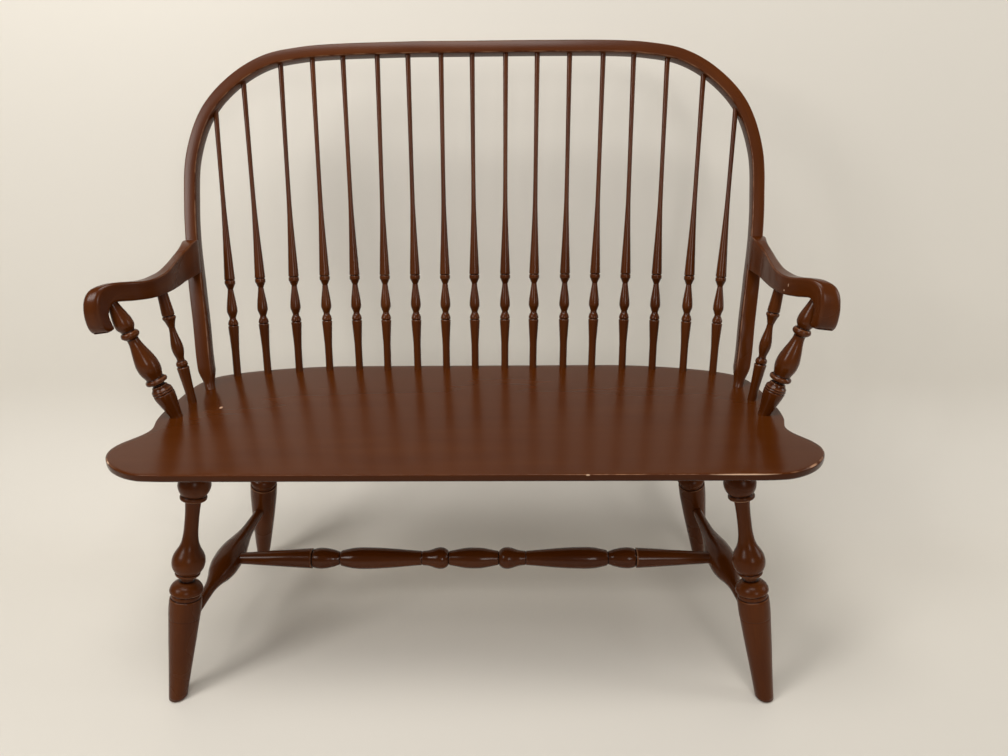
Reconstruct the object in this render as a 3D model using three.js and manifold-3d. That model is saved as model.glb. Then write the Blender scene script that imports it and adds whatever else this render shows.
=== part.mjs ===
// Deacon's bench: a two-seat Windsor settee with a bent bow back, seventeen turned
// spindles, sawn arms on turned posts, and four splayed legs joined by stretchers.
// Millimetres, +X to the sitter's left, +Y to the back, +Z up. Every piece is laid out
// from the seat's front edge and the floor; the last lines centre the bench over its origin.
import * as THREE from 'three';
import { mergeVertices } from 'three/addons/utils/BufferGeometryUtils.js';
import Module from 'manifold-3d';

const wasm = await Module();
wasm.setup();

// Joints, shared by all pieces
const fitGap = 0.3;
const drillOverrun = 6;
const weldDistance = 0.001;
const socketSides = 8;

// Seat: one glued-up plank with rounded ears in front and an undercut edge
const seatHeight = 445;
const seatThickness = 36;
const seatWidth = 1096;
const seatDepth = 440;
const seatEdgeHeight = 10;
const seatArris = 2.5;
const seatFrontUndercut = 50;
const seatSideUndercut = 30;
const seatBackUndercut = 12;
const seatSocketDepth = 22;
// Half outline from the straight front to the straight back: shares of half width and depth
const seatOutlineShares = [
  [0.798, 0], [0.872, 0.012], [0.948, 0.068], [0.991, 0.138], [1, 0.191], [0.989, 0.238], [0.968, 0.275],
  [0.949, 0.31], [0.94, 0.35], [0.9505, 0.432], [0.9565, 0.5], [0.9515, 0.62], [0.945, 0.72], [0.9325, 0.8],
  [0.898, 0.87], [0.837, 0.914], [0.7495, 0.95], [0.635, 0.98], [0.4835, 1],
];
const seatOutlineSteps = 26;

// Bow: one bent rail, its ends tapered and round-tenoned into the seat
const bowInset = 37;
const bowHalfWidth = seatWidth / 2 - bowInset;
const bowRise = 608;
const bowRake = 19.5;
const bowFootInset = 112;
const bowFootDepth = seatDepth - bowFootInset;
const bowLowerWidth = 24;
const bowUpperWidth = 20;
const bowThickness = 24;
const bowEase = 2;
const bowFootTaper = 30;
const bowFootDiameter = 18;
// Centre line of the right half, foot to crown: shares of half width and rise
const bowLineShares = [
  [0.9425, 0], [0.958, 0.0756], [0.9705, 0.197], [0.983, 0.301], [0.996, 0.44], [1, 0.552], [0.991, 0.697],
  [0.937, 0.827], [0.84, 0.917], [0.728, 0.971], [0.6075, 0.991], [0.4975, 0.9975], [0.25, 1],
];
const bowThinningShares = [0.3, 0.46];
const bowSteps = 56;

// Back spindles: equally spaced along a line that curves forward at both ends
const spindleCount = 17;
const spindleRowEndInset = 98;
const spindleTopRowInset = 164;
const spindleRowBackInset = 14.5;
const spindleRowFlat = 200;
const spindleRowSweep = 34;
const spindleBulb = 19;
const spindleCollarHeight = 185;
const spindleTenonLength = 13;
// The two outermost spindles on each side lean out to the bow's corners
const cornerTopShares = [0.814, 0.914];
// Turning from the seat to the collar: shares of collar height and bulb diameter
const spindleTurningShares = [
  [0, 0.737], [0.2507, 0.751], [0.4838, 1.011], [0.4897, 0.884], [0.5114, 0.8], [0.5172, 0.956],
  [0.5314, 1.021], [0.5455, 0.956], [0.5609, 0.712], [0.5859, 0.663], [0.6189, 0.924],
  [0.6554, 1.01], [0.8941, 0.526], [0.9565, 1.024], [0.9726, 1.028], [0.9816, 0.884],
  [0.987, 0.884], [0.9903, 1],
];
// Long taper from the collar to the bow: shares of what is left and of the bulb diameter
const spindleTaperShares = [[0.093, 0.82], [0.2, 0.626], [0.32, 0.463], [0.54, 0.424], [1, 0.5]];
const spindleSides = 8;

// Arms: sawn S-shapes, lapped into the front of the bow across its whole width. They
// flare out to a rolled end, the left one more than the right
const armHeight = 197;
const armReach = 232;
const armLeftFlare = 58;
const armRightFlare = 43;
const armSwell = 9;
const armSwellShares = [0.045, 0.24];
const armLeanShare = 0.5;
const armWidth = 33;
const armNotchDepth = 6;
const armEase = 2.5;
const armEaseShare = 0.1;
// Plan of the inner face: forward share of the reach, outward share of the flare
const armInnerShares = [
  [0, 0], [0.24, 0], [0.46, -0.04], [0.63, 0.04], [0.78, 0.29], [0.91, 0.64], [1.02, 1],
];
const armWidthShares = [
  [0, bowLowerWidth / armWidth], [0.24, 0.53], [0.46, 0.62], [0.63, 0.79], [0.78, 0.93], [0.87, 1],
  [1.02, 0.95],
];
// Side view: forward share of the reach, height share above the seat of the arm height
const armRearLowShare = 1.005;
const armRearHighShare = 1.283;
const armTopShares = [
  [0.071, 1.294], [0.213, 1.233], [0.386, 1.188], [0.528, 1.157], [0.683, 1.148], [0.752, 1.157],
  [0.82, 1.173], [0.89, 1.183], [0.95, 1.162],
];
const armRollShares = [[0.988, 1.105], [1.006, 1.035], [1.01, 0.95], [1.002, 0.865], [0.974, 0.797]];
const armHookShares = [[0.934, 0.79], [0.929, 0.845], [0.933, 0.93], [0.925, 0.985], [0.905, 1.026]];
const armUnderShares = [[0.804, 1.01], [0.692, 0.994], [0.558, 0.988], [0.287, 0.988], [0.183, 1]];
const armSideSteps = 2;

// Arm posts and arm spindles: where they stand on the seat and meet the arm
const armPostInset = 56.4;
const armPostLead = 124;
const armPostShare = 0.8685;
const armPostAcrossShare = 0.59;
const armPostBulb = 36;
const armPostTenon = 10;
const armPostTenonDiameter = 15;
const armSpindleInset = 59;
const armSpindleLead = 63.5;
const armSpindleShare = 0.528;
const armSpindleAcrossShare = 0.5;
const armSpindleBulb = 20;
const armSpindleTenon = 13;
const armSpindleTenonDiameter = 12;
const underArmNeck = 3.5;
// Turnings from the seat to the arm: shares of the length between them and of the bulb
const armPostShares = [
  [0, 0.544], [0.02, 0.548], [0.208, 0.961], [0.2165, 0.894], [0.226, 0.955], [0.2374, 0.889], [0.2489, 0.916],
  [0.2648, 0.761], [0.2837, 0.678], [0.2875, 0.583], [0.296, 0.528], [0.3026, 0.556],
  [0.3121, 0.889], [0.3227, 0.979], [0.3388, 0.956], [0.3546, 0.767], [0.4102, 0.947],
  [0.4527, 1.005], [0.516, 0.933], [0.6703, 0.514], [0.6969, 0.506], [0.7154, 0.745],
  [0.7292, 0.815], [0.7487, 0.757], [0.7631, 0.572], [0.7998, 0.78], [0.8251, 0.806],
  [0.8652, 0.76], [0.965, 0.49],
];
const armSpindleShares = [
  [0, 0.73], [0.1321, 0.792], [0.3264, 1.02], [0.3389, 0.85], [0.351, 0.964], [0.3697, 0.932],
  [0.3927, 0.63], [0.4083, 0.63], [0.4624, 0.886], [0.5078, 0.979], [0.5544, 0.904],
  [0.6548, 0.562], [0.6974, 0.53], [0.7778, 1.099], [0.7907, 1.05], [0.7948, 0.92], [0.801, 0.91],
  [0.8052, 1.03], [0.9728, 0.873],
];
const postSides = 10;

// Legs: turned, splayed both ways, cut level at the floor
const frontLegSideInset = 123;
const frontLegInset = 106;
const frontLegSplay = 69;
const frontLegRake = 71;
const rearLegSideInset = 158;
const rearLegInset = 105;
const rearLegSplay = 83;
const rearLegRake = 100;
const frontLegDiameter = 52;
const rearLegDiameter = 50.5;
const legTenonDiameter = 27;
const legTenonLength = 24;
const legNeck = 7;
// Turnings from the foot to the seat: shares of the leg's length and largest diameter
const frontLegShares = [
  [0, 0.565], [0.3992, 0.996], [0.4468, 0.962], [0.4563, 0.896], [0.464, 0.92], [0.47, 0.858],
  [0.4748, 0.946], [0.4862, 0.942], [0.4983, 0.835], [0.5228, 0.435], [0.529, 0.396],
  [0.5333, 0.408], [0.5375, 0.577], [0.5454, 0.702], [0.5537, 0.673], [0.5703, 0.885],
  [0.5981, 0.988], [0.6238, 0.931], [0.6814, 0.519], [0.7284, 0.412], [0.7931, 0.403],
  [0.8522, 0.477], [0.8564, 0.723], [0.8604, 0.788], [0.8688, 0.797], [0.8759, 0.712],
  [0.8941, 0.896], [0.9145, 0.972], [0.941, 0.89], [0.9707, 0.608],
];
const rearLegShares = [
  [0, 0.455], [0.3099, 0.846], [0.4614, 0.99], [0.494, 0.96], [0.5027, 0.895], [0.5098, 0.918],
  [0.5154, 0.857], [0.5203, 0.948], [0.5313, 0.935], [0.5437, 0.799], [0.565, 0.415],
  [0.5694, 0.396], [0.5733, 0.407], [0.5772, 0.576], [0.5844, 0.701], [0.592, 0.672],
  [0.6073, 0.884], [0.6328, 0.987], [0.6563, 0.93], [0.7091, 0.519], [0.7522, 0.411],
  [0.8115, 0.402], [0.8657, 0.476], [0.8696, 0.722], [0.8732, 0.787], [0.8809, 0.796],
  [0.8875, 0.711], [0.9041, 0.895], [0.9228, 0.971], [0.9472, 0.889], [0.973, 0.624],
];
const legSides = 12;

// Felt pads under the feet
const padThickness = 3;
const padDiameter = 21;

// Stretchers: two plump side stretchers and a turned centre stretcher between them
const stretcherFrontHeight = 127;
const stretcherRearHeight = 153;
const centreStretcherShare = 0.515;
const sideStretcherBulb = 45.5;
const centreStretcherBulb = 39.6;
// Side turning from the front leg's axis to the rear leg's: shares of length and bulb
const sideStretcherShares = [
  [0, 0.43], [0.1, 0.43], [0.25, 0.45], [0.31, 0.5], [0.355, 0.64], [0.4, 0.83], [0.45, 0.95], [0.51, 1],
  [0.57, 0.94], [0.63, 0.77], [0.69, 0.58], [0.74, 0.49], [0.84, 0.43], [0.93, 0.38], [1, 0.38],
];
// Half of the centre turning, middle to end: shares of half length and bulb diameter
const centreStretcherShares = [
  [0, 0.97], [0.0258, 0.95], [0.0528, 0.867], [0.1016, 0.657], [0.1034, 0.591], [0.1169, 0.879],
  [0.1267, 0.969], [0.1377, 0.998], [0.1576, 0.936], [0.191, 0.71], [0.2171, 0.621],
  [0.2189, 0.662], [0.3525, 0.904], [0.4674, 1], [0.5171, 0.895], [0.5528, 0.707], [0.5578, 0.591],
  [0.604, 0.894], [0.6382, 0.97], [0.6604, 0.916], [0.6674, 0.869], [0.6706, 0.793],
  [0.6728, 0.798], [0.6746, 0.939], [0.8, 0.744], [0.945, 0.55], [1, 0.55],
];
const stretcherSides = 10;

// Screws that pull each arm to the bow, and the wooden plugs over their heads
const screwDiameter = 4.5;
const screwHeadDiameter = 9;
const screwHeadHeight = 2.4;
const screwReach = 18;
const plugDiameter = 10;
const plugLength = 5;

// Finishes
const stainedWood = { color: 0x4a1d10, roughness: 0.38, metalness: 0 };
const feltWool = { color: 0xd8cfbe, roughness: 0.95, metalness: 0 };
const zincedSteel = { color: 0x9a978c, roughness: 0.4, metalness: 1 };

const bench = new THREE.Group();

// Adds one named piece of the bench
function addPiece(name, geometry, finish) {
  const mesh = new THREE.Mesh(geometry, new THREE.MeshStandardMaterial(finish));
  mesh.name = name;
  bench.add(mesh);
  return mesh;
}

// Value of a smooth curve through a table of pairs, at a place along it
function valueAt(table, place) {
  const last = table.length - 1;
  let i = 0;
  while (i < last - 1 && place > table[i + 1][0]) {
    i += 1;
  }
  const slope = (a, b) => (table[b][1] - table[a][1]) / (table[b][0] - table[a][0]);
  const before = slope(Math.max(i - 1, 0), i + 1);
  const after = slope(i, Math.min(i + 2, last));
  const span = table[i + 1][0] - table[i][0];
  const t = (place - table[i][0]) / span;
  const cubed = t ** 3;
  const squared = t ** 2;
  return (2 * cubed - 3 * squared + 1) * table[i][1] + (cubed - 2 * squared + t) * span * before
    + (3 * squared - 2 * cubed) * table[i + 1][1] + (cubed - squared) * span * after;
}

// Closed mesh as a solid, and a solid as a mesh
function toSolid(geometry) {
  const bare = geometry.clone();
  bare.deleteAttribute('normal');
  bare.deleteAttribute('uv');
  const welded = mergeVertices(bare, weldDistance);
  return new wasm.Manifold(new wasm.Mesh({
    numProp: 3,
    vertProperties: new Float32Array(welded.attributes.position.array),
    triVerts: new Uint32Array(welded.index.array),
  }));
}

function toGeometry(solid) {
  const mesh = solid.getMesh();
  const geometry = new THREE.BufferGeometry();
  geometry.setAttribute('position', new THREE.BufferAttribute(new Float32Array(mesh.vertProperties), 3));
  geometry.setIndex(new THREE.BufferAttribute(new Uint32Array(mesh.triVerts), 1));
  geometry.computeVertexNormals();
  return geometry;
}

// The geometry with every cutter taken out of it
function cutFrom(geometry, cutters) {
  let solid = toSolid(geometry);
  for (const cutter of cutters) {
    solid = solid.subtract(toSolid(cutter));
  }
  return toGeometry(solid);
}

function joined(geometries) {
  let solid = toSolid(geometries[0]);
  for (const other of geometries.slice(1)) {
    solid = solid.add(toSolid(other));
  }
  return toGeometry(solid);
}

// Left-hand copy of a right-hand geometry, its faces still pointing out
function mirrored(geometry) {
  const copy = geometry.clone();
  copy.scale(-1, 1, 1);
  const index = copy.index.array;
  for (let i = 0; i < index.length; i += 3) {
    [index[i], index[i + 1]] = [index[i + 1], index[i]];
  }
  copy.computeVertexNormals();
  return copy;
}

// An axis runs from one point to another; these place things along it
function axisBetween(start, end) {
  const direction = end.clone().sub(start).normalize();
  return { start, end, direction, length: start.distanceTo(end) };
}

function pointAlong(axis, distance) {
  return axis.start.clone().addScaledVector(axis.direction, distance);
}

function pointAtHeight(axis, height) {
  return pointAlong(axis, (height - axis.start.z) / axis.direction.z);
}

function mirroredAxis(axis, side) {
  const flip = (point) => new THREE.Vector3(point.x * side, point.y, point.z);
  return axisBetween(flip(axis.start), flip(axis.end));
}

function turnTo(direction) {
  return new THREE.Quaternion().setFromUnitVectors(new THREE.Vector3(0, 1, 0), direction);
}

// Round rod with its start at a point on an axis, in bench coordinates
function rodAlong(axis, from, to, radius, sides) {
  const rod = new THREE.CylinderGeometry(radius, radius, to - from, sides);
  rod.translate(0, (from + to) / 2, 0);
  rod.applyQuaternion(turnTo(axis.direction));
  rod.translate(axis.start.x, axis.start.y, axis.start.z);
  return rod;
}

// Drill for a round tenon: its flats clear the tenon by the fit gap
function drillAlong(axis, from, to, tenonDiameter) {
  const radius = (tenonDiameter / 2 + fitGap) / Math.cos(Math.PI / socketSides);
  return rodAlong(axis, from, to, radius, socketSides);
}

// Turned piece about +Y from rows of [distance, diameter]
function turnedGeometry(rows, sides) {
  const first = rows[0][0];
  const last = rows[rows.length - 1][0];
  const profile = rows.map(([distance, diameter]) => new THREE.Vector2(diameter / 2, distance));
  return new THREE.LatheGeometry([new THREE.Vector2(0, first), ...profile, new THREE.Vector2(0, last)], sides);
}

function scaledRows(shares, start, length, diameter) {
  return shares.map(([along, width]) => [start + along * length, width * diameter]);
}

// Puts a turned piece on its axis and takes out the given cutters, which are in bench coordinates
function addTurned(name, rows, sides, axis, cutters = []) {
  const mesh = addPiece(name, turnedGeometry(rows, sides), stainedWood);
  mesh.position.copy(axis.start);
  mesh.quaternion.copy(turnTo(axis.direction));
  mesh.updateMatrix();
  const intoPiece = mesh.matrix.clone().invert();
  if (cutters.length > 0) {
    mesh.geometry = cutFrom(mesh.geometry, cutters.map((cutter) => cutter.clone().applyMatrix4(intoPiece)));
  }
  return mesh;
}

const sides = [['left', -1, armLeftFlare], ['right', 1, armRightFlare]];
const seatUnderside = seatHeight - seatThickness;

// Bow frame: across, up the rake from the seat top, and out of the bow's front face
const rakeAngle = THREE.MathUtils.degToRad(bowRake);
const bowPlace = new THREE.Matrix4().makeRotationX(Math.PI / 2 - rakeAngle);
bowPlace.setPosition(0, bowFootDepth, seatHeight);

function inBow(across, up, front) {
  return new THREE.Vector3(across, up, front).applyMatrix4(bowPlace);
}

const bowHalfLine = bowLineShares.map(
  ([across, up]) => new THREE.Vector3(across * bowHalfWidth, up * bowRise, 0));
const bowCrown = new THREE.Vector3(0, bowRise, 0);
const bowLeftLine = bowHalfLine.map((point) => new THREE.Vector3(-point.x, point.y, 0)).reverse();
const bowLine = new THREE.CatmullRomCurve3([...bowHalfLine, bowCrown, ...bowLeftLine]);
const bowSamples = bowLine.getSpacedPoints(bowSteps);

// Height up the bow at a distance across, on the right half
function bowUpAt(across) {
  let i = 0;
  while (bowSamples[i + 1].x > across || bowSamples[i + 1].y < bowRise * bowLineShares[5][1]) {
    i += 1;
  }
  const t = (across - bowSamples[i].x) / (bowSamples[i + 1].x - bowSamples[i].x);
  return THREE.MathUtils.lerp(bowSamples[i].y, bowSamples[i + 1].y, t);
}

// Distance across the bow at a height up its right post
function bowAcrossAt(up) {
  let i = 0;
  while (bowSamples[i + 1].y < up) {
    i += 1;
  }
  const t = (up - bowSamples[i].y) / (bowSamples[i + 1].y - bowSamples[i].y);
  return THREE.MathUtils.lerp(bowSamples[i].x, bowSamples[i + 1].x, t);
}

function bowWidthAt(up) {
  const [low, high] = bowThinningShares;
  const t = THREE.MathUtils.smoothstep(up / bowRise, low, high);
  return THREE.MathUtils.lerp(bowLowerWidth, bowUpperWidth, t);
}

// Bow feet: the round tenon follows the post's own line down into the seat
const bowFootTop = bowSamples[1];
const bowFootAxis = axisBetween(inBow(bowHalfLine[0].x, 0, 0), inBow(bowFootTop.x, bowFootTop.y, 0));

// Back spindle axes, from the seat top to the bow's middle line
const middleSpindle = (spindleCount - 1) / 2;
const innerSpindle = middleSpindle - cornerTopShares.length;
const spindleRowHalf = seatWidth / 2 - spindleRowEndInset;
const spindleTopRowHalf = bowHalfWidth - spindleTopRowInset;
const spindleAxes = [];
for (let i = 0; i < spindleCount; i += 1) {
  const place = i - middleSpindle;
  const side = Math.sign(place);
  const seatX = Math.abs(place) * spindleRowHalf / middleSpindle;
  const sweep = Math.max(0, (seatX - spindleRowFlat) / (spindleRowHalf - spindleRowFlat));
  const corner = Math.abs(place) - innerSpindle;
  const evenX = Math.abs(place) * spindleTopRowHalf / innerSpindle;
  const topX = corner > 0 ? cornerTopShares[corner - 1] * bowHalfWidth : evenX;
  const foot = new THREE.Vector3(
    side * seatX, seatDepth - spindleRowBackInset - spindleRowSweep * sweep ** 2, seatHeight);
  const top = inBow(topX, bowUpAt(topX), 0);
  top.x *= side;
  spindleAxes.push(axisBetween(foot, top));
}
const spindleFootDiameter = spindleTurningShares[0][1] * spindleBulb;
const spindleTopDiameter = spindleTaperShares[spindleTaperShares.length - 1][1] * spindleBulb;

// Arm frame, right-hand arm: forward share of the reach, height, and share across the width
const armNotchLow = armHeight * armRearLowShare / Math.cos(rakeAngle);
const armNotchHigh = armHeight * armRearHighShare / Math.cos(rakeAngle);
const armNotchMiddle = (armNotchLow + armNotchHigh) / 2;
const armBowX = bowAcrossAt(armNotchMiddle);
const armRearX = armBowX - bowLowerWidth / 2;
const armRear = inBow(armRearX, armNotchMiddle, bowThickness / 2);
// How far the bow, and the arm's rear with it, leans out for each millimetre of height
const armLean = (bowAcrossAt(armNotchHigh) - bowAcrossAt(armNotchLow))
  / ((armNotchHigh - armNotchLow) * Math.cos(rakeAngle));

function armPoint(forward, height, across, flare) {
  const place = Math.max(forward, 0);
  const swell = armSwell * THREE.MathUtils.smoothstep(place, ...armSwellShares);
  const lean = armLean * (1 - THREE.MathUtils.smoothstep(place, 0, armLeanShare)) * (height - armRear.z);
  const inner = armRearX + swell + lean + flare * valueAt(armInnerShares, place);
  const width = armWidth * valueAt(armWidthShares, place);
  return new THREE.Vector3(inner + width * across, armRear.y - armReach * forward, height);
}

// Outline of the arm seen from the side, as [forward share, height]
function armOutline() {
  const tongue = (up, front) => {
    const corner = inBow(armRearX, up, front);
    return [(armRear.y - corner.y) / armReach, corner.z];
  };
  const front = bowThickness / 2;
  const seated = front - armNotchDepth + fitGap;
  const low = armNotchLow + fitGap;
  const high = armNotchHigh - fitGap;
  const heights = (table) => table.map(([forward, up]) => [forward, seatHeight + up * armHeight]);
  return [
    tongue(low, front), tongue(low, seated), tongue(high, seated), tongue(high, front),
    ...heights(armTopShares), ...heights(armRollShares), ...heights(armHookShares), ...heights(armUnderShares),
  ];
}

// Axes of the post and the spindle under an arm, seat top to arm underside
function armUndersideAt(forward) {
  const rising = [...armUnderShares].reverse();
  return seatHeight + armHeight * valueAt([...rising, armHookShares[armHookShares.length - 1]], forward);
}

function armPostAxis(flare) {
  const foot = new THREE.Vector3(seatWidth / 2 - armPostInset, bowFootDepth - armPostLead, seatHeight);
  return axisBetween(foot, armPoint(armPostShare, armUndersideAt(armPostShare), armPostAcrossShare, flare));
}

function armSpindleAxis(flare) {
  const foot = new THREE.Vector3(seatWidth / 2 - armSpindleInset, bowFootDepth - armSpindleLead, seatHeight);
  const height = armUndersideAt(armSpindleShare);
  return axisBetween(foot, armPoint(armSpindleShare, height, armSpindleAcrossShare, flare));
}

const armPostEnds = [armPostShares[0][1] * armPostBulb, armPostTenonDiameter];
const armSpindleEnds = [armSpindleShares[0][1] * armSpindleBulb, armSpindleTenonDiameter];

// Leg axes, floor to seat underside, right side
const frontLegTop = new THREE.Vector3(seatWidth / 2 - frontLegSideInset, frontLegInset, seatUnderside);
const rearLegTop = new THREE.Vector3(seatWidth / 2 - rearLegSideInset, seatDepth - rearLegInset, seatUnderside);
const frontLegAxis = axisBetween(
  new THREE.Vector3(frontLegTop.x + frontLegSplay, frontLegTop.y - frontLegRake, 0), frontLegTop);
const rearLegAxis = axisBetween(
  new THREE.Vector3(rearLegTop.x + rearLegSplay, rearLegTop.y + rearLegRake, 0), rearLegTop);

// Stretcher axes: the side ones from leg axis to leg axis, the centre one between those
const sideStretcherAxis = axisBetween(
  pointAtHeight(frontLegAxis, stretcherFrontHeight), pointAtHeight(rearLegAxis, stretcherRearHeight));
const centreStretcherEnd = pointAlong(sideStretcherAxis, centreStretcherShare * sideStretcherAxis.length);
const centreStretcherAxis = axisBetween(
  new THREE.Vector3(-centreStretcherEnd.x, centreStretcherEnd.y, centreStretcherEnd.z), centreStretcherEnd);
const sideTenonFront = sideStretcherShares[1][1] * sideStretcherBulb;
const sideTenonRear = sideStretcherShares[sideStretcherShares.length - 2][1] * sideStretcherBulb;
const centreTenon = centreStretcherShares[centreStretcherShares.length - 1][1] * centreStretcherBulb;

// Seat: the outline's rings, from the flat underside up the undercut to the eased top edge
function seatOutline() {
  const half = seatOutlineShares.map(
    ([across, back]) => new THREE.Vector3(across * seatWidth / 2, back * seatDepth, 0));
  const right = new THREE.CatmullRomCurve3(half).getSpacedPoints(seatOutlineSteps);
  const left = right.map((point) => new THREE.Vector3(-point.x, point.y, 0)).reverse();
  return [...right, ...left];
}

function seatRing(outline, height, sideInset, frontInset, backInset) {
  const widthShare = 1 - 2 * sideInset / seatWidth;
  const depthShare = 1 - (frontInset + backInset) / seatDepth;
  return outline.map(
    (point) => new THREE.Vector3(point.x * widthShare, frontInset + point.y * depthShare, height));
}

// Closed skin through rings of equal count, capped at both ends
function loftedGeometry(rings) {
  const count = rings[0].length;
  const points = rings.flat();
  const flat = rings[0].map((point) => new THREE.Vector2(point.x, point.y));
  const cap = THREE.ShapeUtils.triangulateShape(flat, []);
  const topStart = count * (rings.length - 1);
  const index = [];
  for (const [a, b, c] of cap) {
    index.push(c, b, a, topStart + a, topStart + b, topStart + c);
  }
  for (let ring = 0; ring < rings.length - 1; ring += 1) {
    for (let i = 0; i < count; i += 1) {
      const a = ring * count + i;
      const b = ring * count + (i + 1) % count;
      index.push(a, b, b + count, a, b + count, a + count);
    }
  }
  const geometry = new THREE.BufferGeometry();
  geometry.setFromPoints(points);
  geometry.setIndex(index);
  return geometry;
}

const outline = seatOutline();
const seatBlank = loftedGeometry([
  seatRing(outline, seatUnderside, seatSideUndercut, seatFrontUndercut, seatBackUndercut),
  seatRing(outline, seatHeight - seatEdgeHeight, 0, 0, 0),
  seatRing(outline, seatHeight - seatArris, 0, 0, 0),
  seatRing(outline, seatHeight, seatArris, seatArris, seatArris),
]);
const seatSockets = spindleAxes.map(
  (axis) => drillAlong(axis, -seatSocketDepth, drillOverrun, spindleFootDiameter));
for (const [, side, flare] of sides) {
  const intoSeat = (axis, tenon) => drillAlong(mirroredAxis(axis, side), -seatSocketDepth, drillOverrun, tenon);
  seatSockets.push(intoSeat(bowFootAxis, bowFootDiameter));
  seatSockets.push(intoSeat(armPostAxis(flare), armPostEnds[0]));
  seatSockets.push(intoSeat(armSpindleAxis(flare), armSpindleEnds[0]));
  for (const leg of [frontLegAxis, rearLegAxis]) {
    const from = leg.length - drillOverrun;
    seatSockets.push(drillAlong(mirroredAxis(leg, side), from, leg.length + legTenonLength, legTenonDiameter));
  }
}
addPiece('seat', cutFrom(seatBlank, seatSockets), stainedWood);

// Bow: outline in its own plane, thinner above the arms, edges eased by a small chamfer
function bowOutline() {
  const outer = [];
  const inner = [];
  for (let i = 0; i <= bowSteps; i += 1) {
    const point = bowSamples[i];
    const along = bowLine.getTangentAt(i / bowSteps);
    const half = bowWidthAt(point.y) / 2;
    outer.push(new THREE.Vector2(point.x + along.y * half, point.y - along.x * half));
    inner.push(new THREE.Vector2(point.x - along.y * half, point.y + along.x * half));
  }
  return [...outer, ...inner.reverse()];
}

function bowFoot(side) {
  const axis = mirroredAxis(bowFootAxis, side);
  const taper = new THREE.CylinderGeometry(bowLowerWidth / 2, bowFootDiameter / 2, bowFootTaper, socketSides);
  taper.translate(0, bowFootTaper / 2 + drillOverrun, 0);
  taper.applyQuaternion(turnTo(axis.direction));
  taper.translate(axis.start.x, axis.start.y, axis.start.z);
  const reach = bowFootTaper + drillOverrun;
  return [taper, rodAlong(axis, -seatSocketDepth + fitGap, reach, bowFootDiameter / 2, socketSides)];
}

const bowBlank = new THREE.ExtrudeGeometry(new THREE.Shape(bowOutline()), {
  depth: bowThickness - 2 * bowEase,
  bevelEnabled: true,
  bevelThickness: bowEase,
  bevelSize: bowEase,
  bevelOffset: -bowEase,
  bevelSegments: 1,
});
bowBlank.translate(0, 0, bowEase - bowThickness / 2);
bowBlank.applyMatrix4(bowPlace);
const footTrim = new THREE.BoxGeometry(3 * bowHalfWidth, 2 * bowFootTaper, 2 * bowThickness);
footTrim.applyMatrix4(bowPlace);
const bowCutters = spindleAxes.map((axis) => {
  const from = axis.length - bowThickness;
  return drillAlong(axis, from, axis.length + spindleTenonLength - bowUpperWidth / 2, spindleTopDiameter);
});

// Screw line of each arm, from the back of the bow forwards into the arm
function screwAxis(side) {
  const back = inBow(side * armBowX, armNotchMiddle, -bowThickness / 2);
  const front = inBow(side * armBowX, armNotchMiddle, bowThickness / 2);
  return axisBetween(back, front);
}

const plugSeat = plugLength + screwHeadHeight + fitGap;
const screwEnd = bowThickness - armNotchDepth + screwReach;
for (const [, side] of sides) {
  const notchHeight = armNotchHigh - armNotchLow;
  const notch = new THREE.BoxGeometry(2 * bowLowerWidth, notchHeight, armNotchDepth + drillOverrun);
  notch.translate(side * armBowX, armNotchMiddle, bowThickness / 2 - armNotchDepth / 2 + drillOverrun / 2);
  notch.applyMatrix4(bowPlace);
  bowCutters.push(notch);
  bowCutters.push(drillAlong(screwAxis(side), -drillOverrun, plugSeat, plugDiameter));
  bowCutters.push(drillAlong(screwAxis(side), 0, bowThickness, screwDiameter));
}
const bowArch = cutFrom(bowBlank, [footTrim]);
addPiece('bow', cutFrom(joined([bowArch, ...bowFoot(-1), ...bowFoot(1)]), bowCutters), stainedWood);

// Back spindles
spindleAxes.forEach((axis, i) => {
  const end = axis.length + spindleTenonLength - bowUpperWidth / 2 - fitGap;
  const taperLength = axis.length - spindleCollarHeight;
  const rows = [
    [fitGap - seatSocketDepth, spindleFootDiameter],
    ...scaledRows(spindleTurningShares, 0, spindleCollarHeight, spindleBulb),
    ...scaledRows(spindleTaperShares, spindleCollarHeight, taperLength, spindleBulb),
    [end, spindleTopDiameter],
  ];
  addTurned(`back_spindle_${String(i + 1).padStart(2, '0')}`, rows, spindleSides, axis);
});

// Arms: the side outline, given its width and bent to its plan, with eased edges
const armShape = new THREE.Shape(
  armOutline().map(([forward, height]) => new THREE.Vector2(forward * armReach, height)));
const intoArm = (axis, tenon, ends) => drillAlong(
  axis, axis.length - drillOverrun, axis.length + tenon, ends[1]);

function armGeometry(flare) {
  const blank = new THREE.ExtrudeGeometry(armShape, {
    depth: 1 - 2 * armEaseShare,
    steps: armSideSteps,
    bevelEnabled: true,
    bevelThickness: armEaseShare,
    bevelSize: armEase,
    bevelOffset: -armEase,
    bevelSegments: 1,
  });
  const places = blank.attributes.position;
  for (let i = 0; i < places.count; i += 1) {
    const across = 1 - armEaseShare - places.getZ(i);
    const place = armPoint(places.getX(i) / armReach, places.getY(i), across, flare);
    places.setXYZ(i, place.x, place.y, place.z);
  }
  return cutFrom(blank, [
    intoArm(armPostAxis(flare), armPostTenon, armPostEnds),
    intoArm(armSpindleAxis(flare), armSpindleTenon, armSpindleEnds),
    drillAlong(screwAxis(1), bowThickness - armNotchDepth - drillOverrun, screwEnd + fitGap, screwDiameter),
  ]);
}

addPiece('arm_right', armGeometry(armRightFlare), stainedWood);
addPiece('arm_left', mirrored(armGeometry(armLeftFlare)), stainedWood);

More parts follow.
